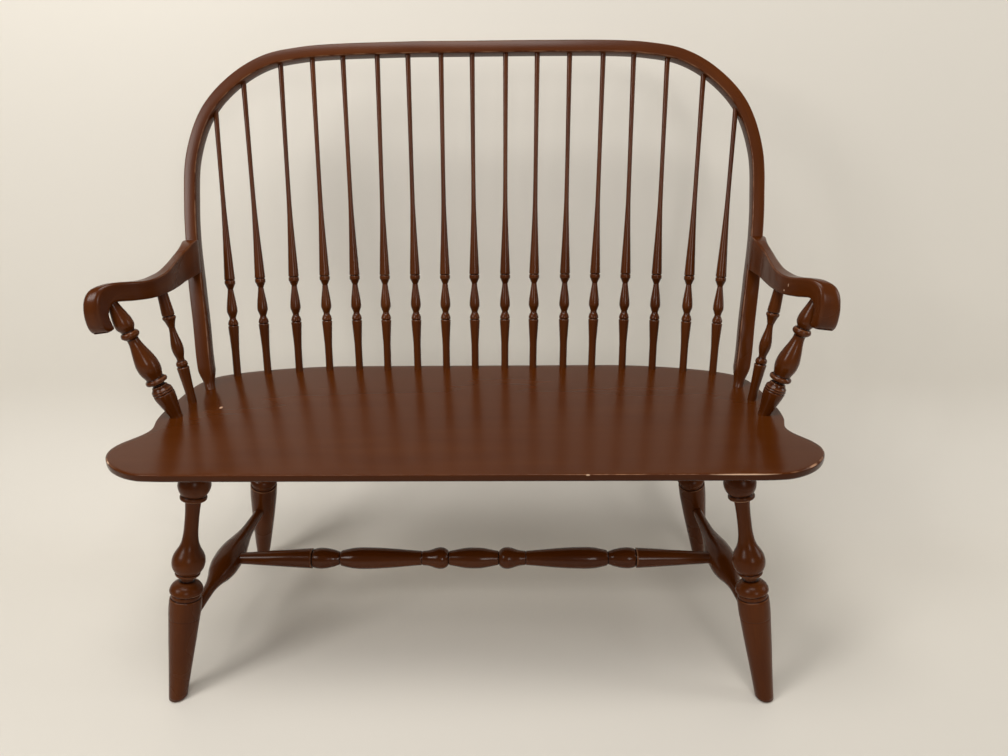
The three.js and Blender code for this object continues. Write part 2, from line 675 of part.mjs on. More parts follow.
// Arm posts, arm spindles, screws and plugs
for (const [name, side, flare] of sides) {
  const underArm = (label, axis, shares, bulb, ends, tenon) => {
    const rows = [
      [fitGap - seatSocketDepth, ends[0]],
      ...scaledRows(shares, 0, axis.length, bulb),
      [axis.length - underArmNeck, ends[1]],
      [axis.length + tenon - fitGap, ends[1]],
    ];
    addTurned(`${label}_${name}`, rows, postSides, mirroredAxis(axis, side));
  };
  underArm('arm_post', armPostAxis(flare), armPostShares, armPostBulb, armPostEnds, armPostTenon);
  underArm(
    'arm_spindle', armSpindleAxis(flare), armSpindleShares, armSpindleBulb, armSpindleEnds, armSpindleTenon);

  const screwRows = [
    [plugLength + fitGap, screwHeadDiameter], [plugSeat - fitGap, screwDiameter], [screwEnd, screwDiameter]];
  const screw = addTurned(`arm_screw_${name}`, screwRows, spindleSides, screwAxis(side));
  screw.material = new THREE.MeshStandardMaterial(zincedSteel);
  addTurned(`arm_plug_${name}`, [[0, plugDiameter], [plugLength, plugDiameter]], spindleSides, screwAxis(side));
}

// Legs, cut level at the felt pads and socketed for the side stretchers
const padCut = new THREE.BoxGeometry(2 * seatWidth, 2 * seatDepth, 2 * legTenonLength);
padCut.translate(0, seatDepth / 2, padThickness - legTenonLength);
for (const [name, side] of sides) {
  const stretcher = mirroredAxis(sideStretcherAxis, side);
  const legs = [
    ['front_leg', frontLegAxis, frontLegShares, frontLegDiameter, [-fitGap, frontLegDiameter], sideTenonFront],
    ['rear_leg', rearLegAxis, rearLegShares, rearLegDiameter,
      [stretcher.length - rearLegDiameter, stretcher.length + fitGap], sideTenonRear],
  ];
  for (const [label, axis, shares, diameter, reach, tenon] of legs) {
    const rows = [
      [-legTenonLength / 2, shares[0][1] * diameter],
      ...scaledRows(shares, 0, axis.length, diameter),
      [axis.length - legNeck, legTenonDiameter],
      [axis.length + legTenonLength - fitGap, legTenonDiameter],
    ];
    const socket = drillAlong(stretcher, reach[0], reach[1], tenon);
    addTurned(`${label}_${name}`, rows, legSides, mirroredAxis(axis, side), [padCut, socket]);

    const foot = mirroredAxis(axis, side).start;
    const pad = new THREE.CylinderGeometry(padDiameter / 2, padDiameter / 2, padThickness - fitGap, legSides);
    const padMesh = addPiece(`felt_pad_${label.split('_')[0]}_${name}`, pad, feltWool);
    padMesh.rotation.x = Math.PI / 2;
    padMesh.position.set(foot.x, foot.y, (padThickness - fitGap) / 2);
  }
}

// Stretchers: the ends of the side ones are straight tenons as far as the legs' skins
for (const [name, side] of sides) {
  const axis = mirroredAxis(sideStretcherAxis, side);
  const inner = sideStretcherShares.slice(1, -1);
  const rows = [
    [0, sideTenonFront], ...scaledRows(inner, 0, axis.length, sideStretcherBulb), [axis.length, sideTenonRear]];
  const centre = axisBetween(
    new THREE.Vector3(centreStretcherEnd.x * side, centreStretcherEnd.y, centreStretcherEnd.z),
    new THREE.Vector3(0, centreStretcherEnd.y, centreStretcherEnd.z));
  const socket = drillAlong(centre, -fitGap, sideStretcherBulb, centreTenon);
  addTurned(`side_stretcher_${name}`, rows, stretcherSides, axis, [socket]);
}
const centreHalf = centreStretcherAxis.length / 2;
const rightHalf = scaledRows(centreStretcherShares, centreHalf, centreHalf, centreStretcherBulb);
const leftHalf = rightHalf.slice(1).map(([along, width]) => [2 * centreHalf - along, width]).reverse();
addTurned('centre_stretcher', [...leftHalf, ...rightHalf], stretcherSides, centreStretcherAxis);

// The origin is on the floor under the middle of the whole bench
const backmost = inBow(0, bowRise + bowUpperWidth / 2 - bowEase, -bowThickness / 2).y;
bench.position.y = -backmost / 2;

export default bench;
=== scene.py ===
import math
import bmesh
import bpy
import numpy as np
from mathutils import Matrix, Vector


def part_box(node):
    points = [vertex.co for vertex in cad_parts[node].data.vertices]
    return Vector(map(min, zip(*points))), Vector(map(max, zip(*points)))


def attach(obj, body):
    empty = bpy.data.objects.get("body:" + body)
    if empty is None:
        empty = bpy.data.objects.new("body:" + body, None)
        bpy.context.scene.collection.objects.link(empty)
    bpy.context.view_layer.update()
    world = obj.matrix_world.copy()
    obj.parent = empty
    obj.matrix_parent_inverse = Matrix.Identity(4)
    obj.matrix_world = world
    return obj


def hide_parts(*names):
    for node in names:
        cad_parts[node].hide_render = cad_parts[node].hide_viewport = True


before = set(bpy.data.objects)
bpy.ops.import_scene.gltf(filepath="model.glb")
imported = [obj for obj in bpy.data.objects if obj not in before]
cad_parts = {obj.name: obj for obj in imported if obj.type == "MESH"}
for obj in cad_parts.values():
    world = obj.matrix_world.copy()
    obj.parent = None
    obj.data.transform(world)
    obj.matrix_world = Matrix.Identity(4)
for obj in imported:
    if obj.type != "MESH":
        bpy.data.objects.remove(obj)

scene = bpy.context.scene
scene.view_settings.view_transform = "Standard"
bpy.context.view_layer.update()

# Camera: it stands a little right of the middle, about a metre high, and looks down at
# the bench. Its place is measured from the seat's front edge, its turns are in degrees.
seat_low, seat_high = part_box("seat")
camera_aside, camera_back, camera_height = 0.0762, 0.9494, 0.9701
camera_down, camera_left, camera_roll = 21.69, 0.832, -0.568
photo_focal_px, photo_width_px = 757.0, 1008.0

camera_data = bpy.data.cameras.new("camera")
camera_data.sensor_width = 36.0
camera_data.lens = camera_data.sensor_width * photo_focal_px / photo_width_px
camera = bpy.data.objects.new("camera", camera_data)
turn = (Matrix.Rotation(math.radians(camera_left), 4, "Z")
        @ Matrix.Rotation(math.radians(90 - camera_down), 4, "X")
        @ Matrix.Rotation(math.radians(camera_roll), 4, "Z"))
camera.matrix_world = Matrix.Translation((camera_aside, seat_low.y - camera_back, camera_height)) @ turn
scene.collection.objects.link(camera)
scene.camera = camera


# Seat: one wide board of glued hardwood planks, sawn to a rounded outline, its top
# edge eased by hand and its underside cut away in a long bevel so that it looks thin.
# It is stained a dark reddish brown, like the whole bench, under a satin lacquer.
MM = 0.001
seat_edge_height = 11.4 * MM
seat_top_ease, seat_top_drop = 1.6 * MM, 0.5 * MM
seat_low_ease = 2 * MM
seat_ear_edge, seat_ear_ease = 2.4 * MM, 2.6 * MM
seat_right_ear_cut = 3 * MM
seat_front_bevel, seat_side_bevel, seat_back_bevel = 50 * MM, 30 * MM, 12 * MM
# Half of the outline, front to back, as shares of the half width and of the depth
seat_outline_shares = [
    (0.798, 0), (0.872, 0.012), (0.948, 0.068), (0.991, 0.138), (1, 0.191), (0.989, 0.238),
    (0.968, 0.275), (0.949, 0.31), (0.9385, 0.352), (0.952, 0.432), (0.9565, 0.5), (0.9515, 0.62),
    (0.945, 0.72), (0.9325, 0.8), (0.898, 0.87), (0.837, 0.914), (0.7495, 0.95), (0.635, 0.98),
    (0.4835, 1),
]
seat_front_shares, seat_back_shares = (-0.6, -0.3, 0, 0.3, 0.6), (0.25, 0, -0.25)
# How the top runs down to its edge: millimetres in from the edge, and share of the drop
seat_roll_off = [(1, 0.8), (3, 0.5), (6, 0.26), (10, 0.1), (15, 0.02), (22, 0), (30, 0)]
# Across the eased edge from side to top: above zero the stain is rubbed pale, partly a painted highlight;
# below zero the side is painted darker, as shade
seat_edge_shade_and_rub = (-0.22, -0.12, 1.0, 1.0, 0.4, 0.0)
stain_deep = (0.058, 0.0126, 0.0011, 1)
stain_mid = (0.072, 0.0168, 0.0018, 1)
stain_light = (0.09, 0.0226, 0.003, 1)
# Rubbed stain: the colour of wear, which on the seat's front arris also paints a highlight
stain_worn_and_highlight = (0.42, 0.22, 0.12, 1)
# Bare wood: the colour of nicks, and of a streak that partly paints a highlight on the seat's front arris
stain_bare_and_highlight = (0.62, 0.42, 0.28, 1)
# Nicks, as places and half lengths in metres; the last is a long pale streak along the right front arris,
# partly wear and partly a painted highlight
seat_nicks_and_highlight = [
    ((0.1804, -0.2717, 0.4432), (0.003, 0.004, 0.0012)), ((-0.4293, -0.0338, 0.445), (0.003, 0.0045, 0.002)),
    ((-0.527, -0.2295, 0.4431), (0.005, 0.007, 0.0009)), ((0.402, -0.2717, 0.4434), (0.05, 0.003, 0.0009)),
]


def stained_wood(name, roughness=0.2, gloss=0.25, wear_and_painted_light=1.0, grain_depth=0.8, nicks_and_highlight=()):
    """Satin lacquer over stained hardwood. The grain runs along the mesh's grain attribute."""
    material = bpy.data.materials.new(name)
    material.use_nodes = True
    tree = material.node_tree
    tree.nodes.clear()

    def node(kind, **values):
        made = tree.nodes.new(kind)
        for key, value in values.items():
            if key in made.inputs:
                made.inputs[key].default_value = value
            else:
                setattr(made, key, value)
        return made

    def link(start, end):
        tree.links.new(start, end)

    grain = node("ShaderNodeAttribute", attribute_name="grain")
    board = node("ShaderNodeAttribute", attribute_name="board")
    groove = node("ShaderNodeAttribute", attribute_name="groove")
    apart = node("ShaderNodeVectorMath", operation="SCALE")
    apart.inputs[0].default_value = (0.83, 0.37, 0.61)
    link(board.outputs["Fac"], apart.inputs["Scale"])
    place = node("ShaderNodeVectorMath", operation="ADD")
    link(grain.outputs["Vector"], place.inputs[0])
    link(apart.outputs["Vector"], place.inputs[1])

    def pattern(stretch, scale, detail, rough=0.6, distortion=0.0):
        mapping = node("ShaderNodeMapping")
        mapping.inputs["Scale"].default_value = stretch
        noise = node("ShaderNodeTexNoise", Scale=scale, Detail=detail, Roughness=rough,
                     Distortion=distortion)
        link(place.outputs["Vector"], mapping.inputs["Vector"])
        link(mapping.outputs["Vector"], noise.inputs["Vector"])
        return noise.outputs["Fac"]

    figure = pattern((1.2, 9, 9), 4.0, 2, 0.4, 0.05)
    fibre = pattern((3.5, 150, 150), 3.2, 4, 0.65)
    pores = pattern((12, 330, 330), 3.0, 2, 0.5)
    cloud = pattern((1, 1, 1), 5.0, 3, 0.5)

    def ramp(source, stops):
        made = node("ShaderNodeValToRGB")
        made.color_ramp.elements[0].position, made.color_ramp.elements[0].color = stops[0]
        made.color_ramp.elements[1].position, made.color_ramp.elements[1].color = stops[-1]
        for position, color in stops[1:-1]:
            made.color_ramp.elements.new(position).color = color
        link(source, made.inputs["Fac"])
        return made.outputs["Color"]

    def ranged(source, given, wanted, **values):
        made = node("ShaderNodeMapRange", **values)
        for name, value in zip(("From Min", "From Max", "To Min", "To Max"), given + wanted):
            made.inputs[name].default_value = value
        link(source, made.inputs["Value"])
        return made.outputs["Result"]

    def mix(kind, factor, first, second):
        made = node("ShaderNodeMix", data_type="RGBA", blend_type=kind)
        for source, place_in in ((factor, 0), (first, 6), (second, 7)):
            if isinstance(source, (float, int, tuple)):
                made.inputs[place_in].default_value = source
            else:
                link(source, made.inputs[place_in])
        return made.outputs[2]

    wood = ramp(figure, [(0.3, stain_deep), (0.5, stain_mid), (0.72, stain_light)])
    wood = mix("MIX", 0.25 + 0.75 * min(grain_depth, 1), stain_mid, wood)
    streaks = ramp(fibre, [(0.35, (0.82, 0.8, 0.78, 1)), (0.65, (1.1, 1.1, 1.1, 1))])
    wood = mix("MULTIPLY", 0.5 * grain_depth, wood, streaks)
    specks = ramp(pores, [(0.3, (0.6, 0.55, 0.5, 1)), (0.42, (1, 1, 1, 1))])
    wood = mix("MULTIPLY", 0.35 * grain_depth, wood, specks)
    clouds = ramp(cloud, [(0.32, (0.9, 0.88, 0.86, 1)), (0.68, (1.08, 1.09, 1.1, 1))])
    wood = mix("MULTIPLY", 0.4 + 0.4 * grain_depth, wood, clouds)

    # Painted shade darkens the turned grooves and the seat's edge band; the stain is rubbed thin on the
    # ridges
    groove_shade = ramp(groove.outputs["Fac"], [(0.06, (1, 1, 1, 1)), (0.55, (0.16, 0.12, 0.11, 1))])
    wood = mix("MULTIPLY", 0.9, wood, groove_shade)
    # The ridges and arrises are rubbed pale: wear, and on the seat's front arris also a painted highlight
    rub_and_highlight = node("ShaderNodeMath", operation="MULTIPLY")
    ridge = ranged(groove.outputs["Fac"], (-0.12, -0.9), (0, 1), interpolation_type="SMOOTHSTEP")
    link(ridge, rub_and_highlight.inputs[0])
    link(ranged(pattern((1, 1, 1), 45.0, 2), (0.38, 0.66), (0, 0.55 * wear_and_painted_light)), rub_and_highlight.inputs[1])
    wood = mix("MIX", rub_and_highlight.outputs["Value"], wood, stain_worn_and_highlight)

    # Nicks, where the wood is bare, and on the seat a long pale streak that is partly a painted highlight
    spot = node("ShaderNodeTexCoord")
    for centre, length in nicks_and_highlight:
        away = node("ShaderNodeVectorMath", operation="SUBTRACT")
        link(spot.outputs["Object"], away.inputs[0])
        away.inputs[1].default_value = centre
        narrow = node("ShaderNodeVectorMath", operation="MULTIPLY")
        link(away.outputs["Vector"], narrow.inputs[0])
        narrow.inputs[1].default_value = [1 / size for size in length]
        span = node("ShaderNodeVectorMath", operation="LENGTH")
        link(narrow.outputs["Vector"], span.inputs[0])
        wood = mix("MIX", ranged(span.outputs["Value"], (1.1, 0.6), (0, 0.9)), wood, stain_bare_and_highlight)

    shine = ranged(cloud, (0.3, 0.7), (roughness - 0.03, roughness + 0.04))
    relief = node("ShaderNodeBump", Strength=0.22 * grain_depth, Distance=0.0001)
    link(fibre, relief.inputs["Height"])

    surface = node("ShaderNodeBsdfPrincipled")
    surface.inputs["IOR"].default_value = 1.45
    surface.inputs["Specular IOR Level"].default_value = gloss
    link(wood, surface.inputs["Base Color"])
    link(shine, surface.inputs["Roughness"])
    link(relief.outputs["Normal"], surface.inputs["Normal"])
    output = node("ShaderNodeOutputMaterial")
    link(surface.outputs["BSDF"], output.inputs["Surface"])
    return material


def spline(points, count, closed=False):
    """Points spaced evenly along a smooth curve through the given points."""
    points = np.array(points, float)
    if closed:
        ring = np.vstack([points[-1:], points, points[:2]])
    else:
        ring = np.vstack([2 * points[0] - points[1], points, 2 * points[-1] - points[-2]])
    pieces = []
    for p0, p1, p2, p3 in zip(ring[:-3], ring[1:-2], ring[2:-1], ring[3:]):
        t0, t1 = 0.0, np.linalg.norm(p1 - p0) ** 0.5
        t2 = t1 + np.linalg.norm(p2 - p1) ** 0.5
        t3 = t2 + np.linalg.norm(p3 - p2) ** 0.5
        t = np.linspace(t1, t2, 24, endpoint=False)[:, None]
        a1 = (t1 - t) / (t1 - t0) * p0 + (t - t0) / (t1 - t0) * p1
        a2 = (t2 - t) / (t2 - t1) * p1 + (t - t1) / (t2 - t1) * p2
        a3 = (t3 - t) / (t3 - t2) * p2 + (t - t2) / (t3 - t2) * p3
        b1 = (t2 - t) / (t2 - t0) * a1 + (t - t0) / (t2 - t0) * a2
        b2 = (t3 - t) / (t3 - t1) * a2 + (t - t1) / (t3 - t1) * a3
        pieces.append((t2 - t) / (t2 - t1) * b1 + (t - t1) / (t2 - t1) * b2)
    dense = np.vstack(pieces + [points[:1] if closed else points[-1:]])
    along = np.concatenate([[0], np.cumsum(np.linalg.norm(np.diff(dense, axis=0), axis=1))])
    places = np.linspace(0, along[-1], count + 1)[:-1] if closed else np.linspace(0, along[-1], count)
    return np.stack([np.interp(places, along, dense[:, k]) for k in range(dense.shape[1])], 1)


def smoothstep(value, low, high):
    t = np.clip((np.asarray(value) - low) / (high - low), 0, 1)
    return t * t * (3 - 2 * t)


def face_outward(mesh):
    outside = bmesh.new()
    outside.from_mesh(mesh)
    bmesh.ops.recalc_face_normals(outside, faces=outside.faces)
    outside.to_mesh(mesh)
    outside.free()


boards = iter(range(1, 200))


def bench_piece(name, points, faces, grain, groove, material, nodes):
    """A smooth closed mesh with its grain, groove and board attributes, riding on the bench."""
    mesh = bpy.data.meshes.new(name)
    mesh.from_pydata([tuple(p) for p in points], [], [tuple(int(i) for i in f) for f in faces])
    mesh.polygons.foreach_set("use_smooth", [True] * len(mesh.polygons))
    mesh.attributes.new("grain", "FLOAT_VECTOR", "POINT").data.foreach_set("vector", np.ravel(grain))
    mesh.attributes.new("groove", "FLOAT", "POINT").data.foreach_set("value", np.ravel(groove))
    board = [float(next(boards))] * len(points)
    mesh.attributes.new("board", "FLOAT", "POINT").data.foreach_set("value", board)
    mesh.materials.append(material)
    face_outward(mesh)
    piece = bpy.data.objects.new(name, mesh)
    scene.collection.objects.link(piece)
    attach(piece, "root")
    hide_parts(*nodes)


def closed_faces(rings, count):
    """Quads between rings of equal count, and a cap over the first ring and the last one."""
    faces = []
    for ring in range(rings - 1):
        for i in range(count):
            a, b = ring * count + i, ring * count + (i + 1) % count
            faces.append((a, b, b + count, a + count))
    faces.append(tuple(reversed(range(count))))
    faces.append(tuple(range(count * (rings - 1), count * rings)))
    return faces


def make_seat():
    low, high = seat_low, seat_high
    half_width, depth, thickness = (high.x - low.x) / 2, high.y - low.y, high.z - low.z
    half = [(x * half_width, y * depth) for x, y in seat_outline_shares]
    back = [(x * half_width, depth) for x in seat_back_shares]
    mirror = [(-x, y) for x, y in reversed(half)]
    front = [(x * half_width, 0) for x in seat_front_shares]
    outline = spline(half + back + mirror + front, 400, closed=True)
    outline[:, 1] = np.clip(outline[:, 1], 0, depth)
    outline[:, 0] -= (seat_right_ear_cut * smoothstep(outline[:, 0] / half_width, 0.6, 1)
                      * (1 - smoothstep(outline[:, 1] / depth, 0.3, 0.42)))
    along = np.roll(outline, -1, 0) - np.roll(outline, 1, 0)
    outward = np.stack([along[:, 1], -along[:, 0]], 1) / np.linalg.norm(along, axis=1)[:, None]
    end_bevel = np.where(outward[:, 1] < 0, seat_front_bevel, seat_back_bevel)
    bevel = seat_side_bevel + (end_bevel - seat_side_bevel) * outward[:, 1] ** 2

    # The ears have a thicker and rounder edge, and the arris is rubbed pale most at the right front: partly
    # wear, partly a painted highlight
    ear = (smoothstep(np.abs(outline[:, 0]) / half_width, 0.82, 0.96)
           * (1 - smoothstep(outline[:, 1] / depth, 0.22, 0.36)))
    ease = seat_top_ease + seat_ear_ease * ear
    edge_height = seat_edge_height + seat_ear_edge * ear
    arris_rub_and_highlight = 0.3 + (outward[:, 1] < 0.2) * (
        0.35 * smoothstep(outline[:, 0], 0.1, 0.2) + 0.5 * smoothstep(outline[:, 0], 0.33, 0.42)
        + 0.8 * smoothstep(-outline[:, 0], 0.522, 0.538))
    rings, shade_and_rub = [], []

    def ring(inset, height, wear_and_painted_light=0.0):
        flat = outline - outward * np.reshape(inset, (-1, 1))
        rings.append(np.column_stack([flat[:, 0], flat[:, 1] + low.y, np.zeros(len(flat)) + low.z + height]))
        shade_and_rub.append(-wear_and_painted_light * arris_rub_and_highlight if wear_and_painted_light >= 0 else np.full(len(flat), -wear_and_painted_light))

    # Underside and its long bevel
    edge_low = thickness - edge_height
    ring(bevel + 20 * MM, 0)
    ring(bevel + 1 * MM, 0)
    ring(bevel, 0)
    ring(bevel - 3 * MM, 0.9 * MM)
    ring(bevel * 0.5, edge_low * 0.54)
    ring(12 * MM, edge_low * 0.85)

    # Edge, eased at its foot and painted darker than the top, as shade
    ring(seat_low_ease, edge_low - 1 * MM, -0.3)
    ring(0.4 * MM, edge_low + 0.8 * MM, -0.3)
    ring(0, edge_low + 3 * MM, -0.26)
    arris = thickness - seat_top_drop
    ring(0, arris - ease - 1 * MM, -0.24)
    for step, wear_and_painted_light in enumerate(seat_edge_shade_and_rub):
        angle = math.radians(17 * step)
        ring(ease * (1 - math.cos(angle)), arris - ease * (1 - math.sin(angle)), wear_and_painted_light)

    # Top
    for inset, share in seat_roll_off:
        ring(ease + inset * MM, thickness - share * seat_top_drop)
    points = np.vstack(rings)
    material = stained_wood("seat_wood", roughness=0.21, gloss=0.17, wear_and_painted_light=1.9, grain_depth=0.06,
                            nicks_and_highlight=seat_nicks_and_highlight)
    bench_piece("seat_board", points, closed_faces(len(rings), len(outline)), points, np.concatenate(shade_and_rub),
                material, ["seat"])


make_seat()


# Legs: four turned legs, splayed outwards and raked, glued by round tenons into the
# underside of the seat. Each has a plain tapered foot, a cap over a thin ring, a ball
# that flares up into a slim column, and a collar under the seat.
turned_sides, turned_ease = 40, 0.35 * MM
leg_wood = stained_wood("leg_wood", roughness=0.27, gloss=0.16)
# A turning lists curves and straight cuts, as distance from the foot and diameter in millimetres
front_leg_turning = [
    ("curve", (0, 28.8), (60, 36.5), (120, 44.9), (153, 49)), ("line", (153.6, 48.2), (154.2, 49.2)),
    ("curve", (154.4, 49.4), (166, 50.6), (178, 50.8), (186, 50.2), (188.2, 49.2)), ("line", (188.8, 47)),
    ("curve", (189.4, 45.6), (193, 46.4), (196.2, 45.6)), ("line", (196.8, 44), (197.6, 44)),
    ("curve", (198, 47), (199, 50.4), (201, 52), (203.8, 51.6), (208, 48.6), (211.5, 44), (214.5, 37.4),
     (217, 29.4), (218.2, 24)), ("line", (218.8, 21)), ("curve", (219.4, 20.2), (222.5, 19.8), (226, 20.6)),
    ("line", (226.8, 24), (227.4, 31)), ("curve", (227.8, 33.8), (229.4, 37.6), (231.6, 39.4), (233.4, 38.4)),
    ("line", (234, 36)), ("curve", (234.6, 38.4), (240, 46), (246, 50.2), (252.5, 51.6), (259, 50.2),
     (265.5, 46), (272, 39.2), (278.5, 32.4), (285, 27.8), (292, 25), (301, 22.9), (312, 21.9), (330, 21.8),
     (345, 22.8), (358.6, 25)),
    ("line", (359.4, 30), (360.4, 37.6)), ("curve", (361, 39.4), (362.4, 41.2), (365, 41.6), (367.4, 39.6)),
    ("line", (368.6, 37)), ("curve", (369.4, 38.6), (374, 44.6), (380, 49), (385.5, 50.6), (392, 48.8),
     (400, 42.6), (406, 35), (411, 29), (416, 27), (425, 27)),
]
rear_foot = [
    ("curve", (0, 23), (20, 25.6), (42, 29.8), (98, 38.8), (154, 46.8), (206, 51.6), (220, 51.4), (221, 50)),
]
rear_cap_from, rear_cap_at, rear_leg_squeeze, rear_leg_slim = 188, 220.5, 0.935, 1.02
front_right_leg_lean = 2.6 * MM


def inner_slopes(step, slope):
    """Slopes at the inner points of a curve, such that it never overshoots its points."""
    tangent = np.zeros(len(slope) + 1)
    same = slope[:-1] * slope[1:] > 0
    w1, w2 = 2 * step[1:] + step[:-1], step[1:] + 2 * step[:-1]
    before, after = np.where(same, slope[:-1], 1), np.where(same, slope[1:], 1)
    tangent[1:-1][same] = ((w1 + w2) / (w1 / before + w2 / after))[same]
    return tangent


def between(t, step, start, end, slope_start, slope_end):
    """Value at share t of a step, on the curve with the given values and slopes at its ends."""
    return ((2 * t**3 - 3 * t**2 + 1) * start + (t**3 - 2 * t**2 + t) * step * slope_start
            + (3 * t**2 - 2 * t**3) * end + (t**3 - t**2) * step * slope_end)


def turning_rows(turning):
    """Dense rows of distance and diameter, in metres, from a turning's curves and straight cuts."""
    rows = []
    for kind, *parts in turning:
        if kind == "line":
            rows += parts
            continue
        d, v = np.array(parts, float).T
        step, slope = np.diff(d), np.diff(v) / np.diff(d)
        tangent = inner_slopes(step, slope)
        tangent[0] = slope[0] + (slope[0] - tangent[1]) / 2
        tangent[-1] = slope[-1] + (slope[-1] - tangent[-2]) / 2
        for i in range(len(slope)):
            pieces = max(2, min(9, math.ceil(step[i] / 1.6)))
            for k in range(pieces):
                value = between(k / pieces, step[i], v[i], v[i + 1], tangent[i], tangent[i + 1])
                rows.append((d[i] + k / pieces * step[i], value))
        rows.append((d[-1], v[-1]))
    return [(distance * MM, diameter * MM) for distance, diameter in rows]


def eased_rows(rows, ease):
    """The rows, as distance and radius, with each sharp corner cut back a little on both sides."""
    points = [np.array((distance, diameter / 2)) for distance, diameter in rows]
    points = [p for i, p in enumerate(points) if i == 0 or np.linalg.norm(p - points[i - 1]) > 0.05 * MM]
    eased = [points[0]]
    for before, point, after in zip(points[:-2], points[1:-1], points[2:]):
        back, ahead = before - point, after - point
        reach_back, reach_ahead = np.linalg.norm(back), np.linalg.norm(ahead)
        bend = math.acos(max(-1, min(1, -back @ ahead / reach_back / reach_ahead)))
        if bend > math.radians(24):
            eased.append(point + back / reach_back * min(ease, reach_back * 0.4))
            eased.append(point + ahead / reach_ahead * min(ease, reach_ahead * 0.4))
        else:
            eased.append(point)
    eased.append(points[-1])
    return np.array(eased)


def groove_depth(profile, window=3.2 * MM):
    """How deep each point lies below its surroundings: above zero in a groove, below on a ridge."""
    places = np.arange(profile[0, 0], profile[-1, 0], 0.2 * MM)
    radius = np.interp(places, profile[:, 0], profile[:, 1])
    reach = int(window / (0.2 * MM))
    kernel = np.hanning(2 * reach + 1)
    padded = np.pad(radius, reach, mode="edge")
    smooth = np.convolve(padded, kernel / kernel.sum(), mode="valid")
    return np.clip(np.interp(profile[:, 0], places, smooth - radius) / (0.7 * MM), -1, 1)


def turned_mesh(rows):
    """Points, faces, grain and groove of a turned piece that stands on the origin along +Z."""
    profile = eased_rows(rows, turned_ease)
    angles = np.linspace(0, 2 * math.pi, turned_sides, endpoint=False)
    circle = np.stack([np.cos(angles), np.sin(angles)], 1)
    points = np.vstack([np.column_stack([circle * r, np.full(turned_sides, z)]) for z, r in profile])
    return (points, closed_faces(len(profile), turned_sides), points[:, [2, 0, 1]],
            np.repeat(groove_depth(profile), turned_sides))


def standing(points, foot, toward):
    """The points with +Z turned to the line from foot toward another point, and the origin at foot."""
    turn = (toward - foot).to_track_quat("Z", "Y").to_matrix()
    return np.array(points) @ np.array(turn).T + np.array(foot)


def axis_at(node, height):
    """Where the axis of a leaning turned node crosses a height."""
    points = np.array([v.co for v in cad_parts[node].data.vertices], float)
    low = points[points[:, 2] < points[:, 2].min() + 0.2 * MM].mean(0)
    centre = points.mean(0)
    line = np.linalg.svd(points - centre, full_matrices=False)[2][0]
    line = line if line[2] > 0 else -line
    reach = (points - centre) @ line
    end = points[reach > reach.max() - 0.2 * MM].mean(0)
    return Vector(low + (end - low) * (height - low[2]) / (end[2] - low[2]))


def make_leg(node, turning, lean=0.0):
    foot = axis_at(node, 0)
    top = axis_at(node, seat_low.z) - Vector((lean, 0, 0))
    points, faces, grain, groove = turned_mesh(turning_rows(turning))
    points = standing(points, foot, top)
    points[:, 2] = np.maximum(points[:, 2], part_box(node)[0].z)
    bench_piece(node + "_turned", points, faces, grain, groove, leg_wood, [node])


# The rear leg repeats the front leg's turning above its own longer foot
rear_leg_turning = rear_foot + [
    (kind, *[(rear_cap_at + (d - rear_cap_from) * rear_leg_squeeze, v * rear_leg_slim) for d, v in parts])
    for kind, *parts in front_leg_turning[3:]]

for side in ("left", "right"):
    make_leg(f"front_leg_{side}", front_leg_turning, front_right_leg_lean if side == "right" else 0.0)
    make_leg(f"rear_leg_{side}", rear_leg_turning)


# Bow: one long hardwood rail, steamed and bent into a hoop, square in section with
# eased edges. Its ends are tapered to round tenons that are glued into the seat, and
# the whole hoop leans back from there.
bow_foot_depth, bow_rake = 0.328, math.radians(19.5)
bow_half_width, bow_rise = 0.511, 0.6073
bow_lower_width, bow_upper_width, bow_thickness = 25 * MM, 21.2 * MM, 24 * MM
bow_ease = 2.6 * MM
bow_foot_taper, bow_foot_diameter = 30 * MM, 18 * MM
bow_lean_foot, bow_lean_more, bow_sag, bow_sag_from = 0.8 * MM, 4.2 * MM, 0.0115, -0.1
bow_line_shares = [
    (0.9425, 0), (0.958, 0.0756), (0.9705, 0.197), (0.983, 0.301), (0.996, 0.44), (1, 0.552), (0.991, 0.697),
    (0.937, 0.827), (0.84, 0.917), (0.728, 0.971), (0.6075, 0.991), (0.4975, 0.9975), (0.25, 1),
]
bow_half_line = [(x * bow_half_width, s * bow_rise) for x, s in bow_line_shares]
bow_line = spline(bow_half_line + [(0, bow_rise)] + [(-x, s) for x, s in reversed(bow_half_line)], 420)


def in_bow(across, up, front):
    """A place in the bow's own frame: across, up its lean, and out of its front face."""
    depth = seat_low.y + bow_foot_depth + up * math.sin(bow_rake) - front * math.cos(bow_rake)
    height = seat_high.z + up * math.cos(bow_rake) + front * math.sin(bow_rake)
    return np.stack([across, depth, height], -1)


def settled(points):
    """The bow has leaned a few millimetres to the right, and its left shoulder has sunk."""
    points = np.array(points, float)
    share = np.clip((points[..., 2] - seat_high.z) / (bow_rise * math.cos(bow_rake)), 0, 1)
    points[..., 2] += bow_sag * np.minimum(points[..., 0] - bow_sag_from, 0) * share ** 2
    points[..., 0] += bow_lean_foot + bow_lean_more * share
    return points


def bow_up_at(across):
    half = bow_line[bow_line[:, 1] > 0.6 * bow_rise]
    half = half[half[:, 0] >= -0.001]
    return float(np.interp(across, half[::-1, 0], half[::-1, 1]))


def bow_across_at(up):
    half = bow_line[: len(bow_line) // 4]
    return float(np.interp(up, half[:, 1], half[:, 0]))


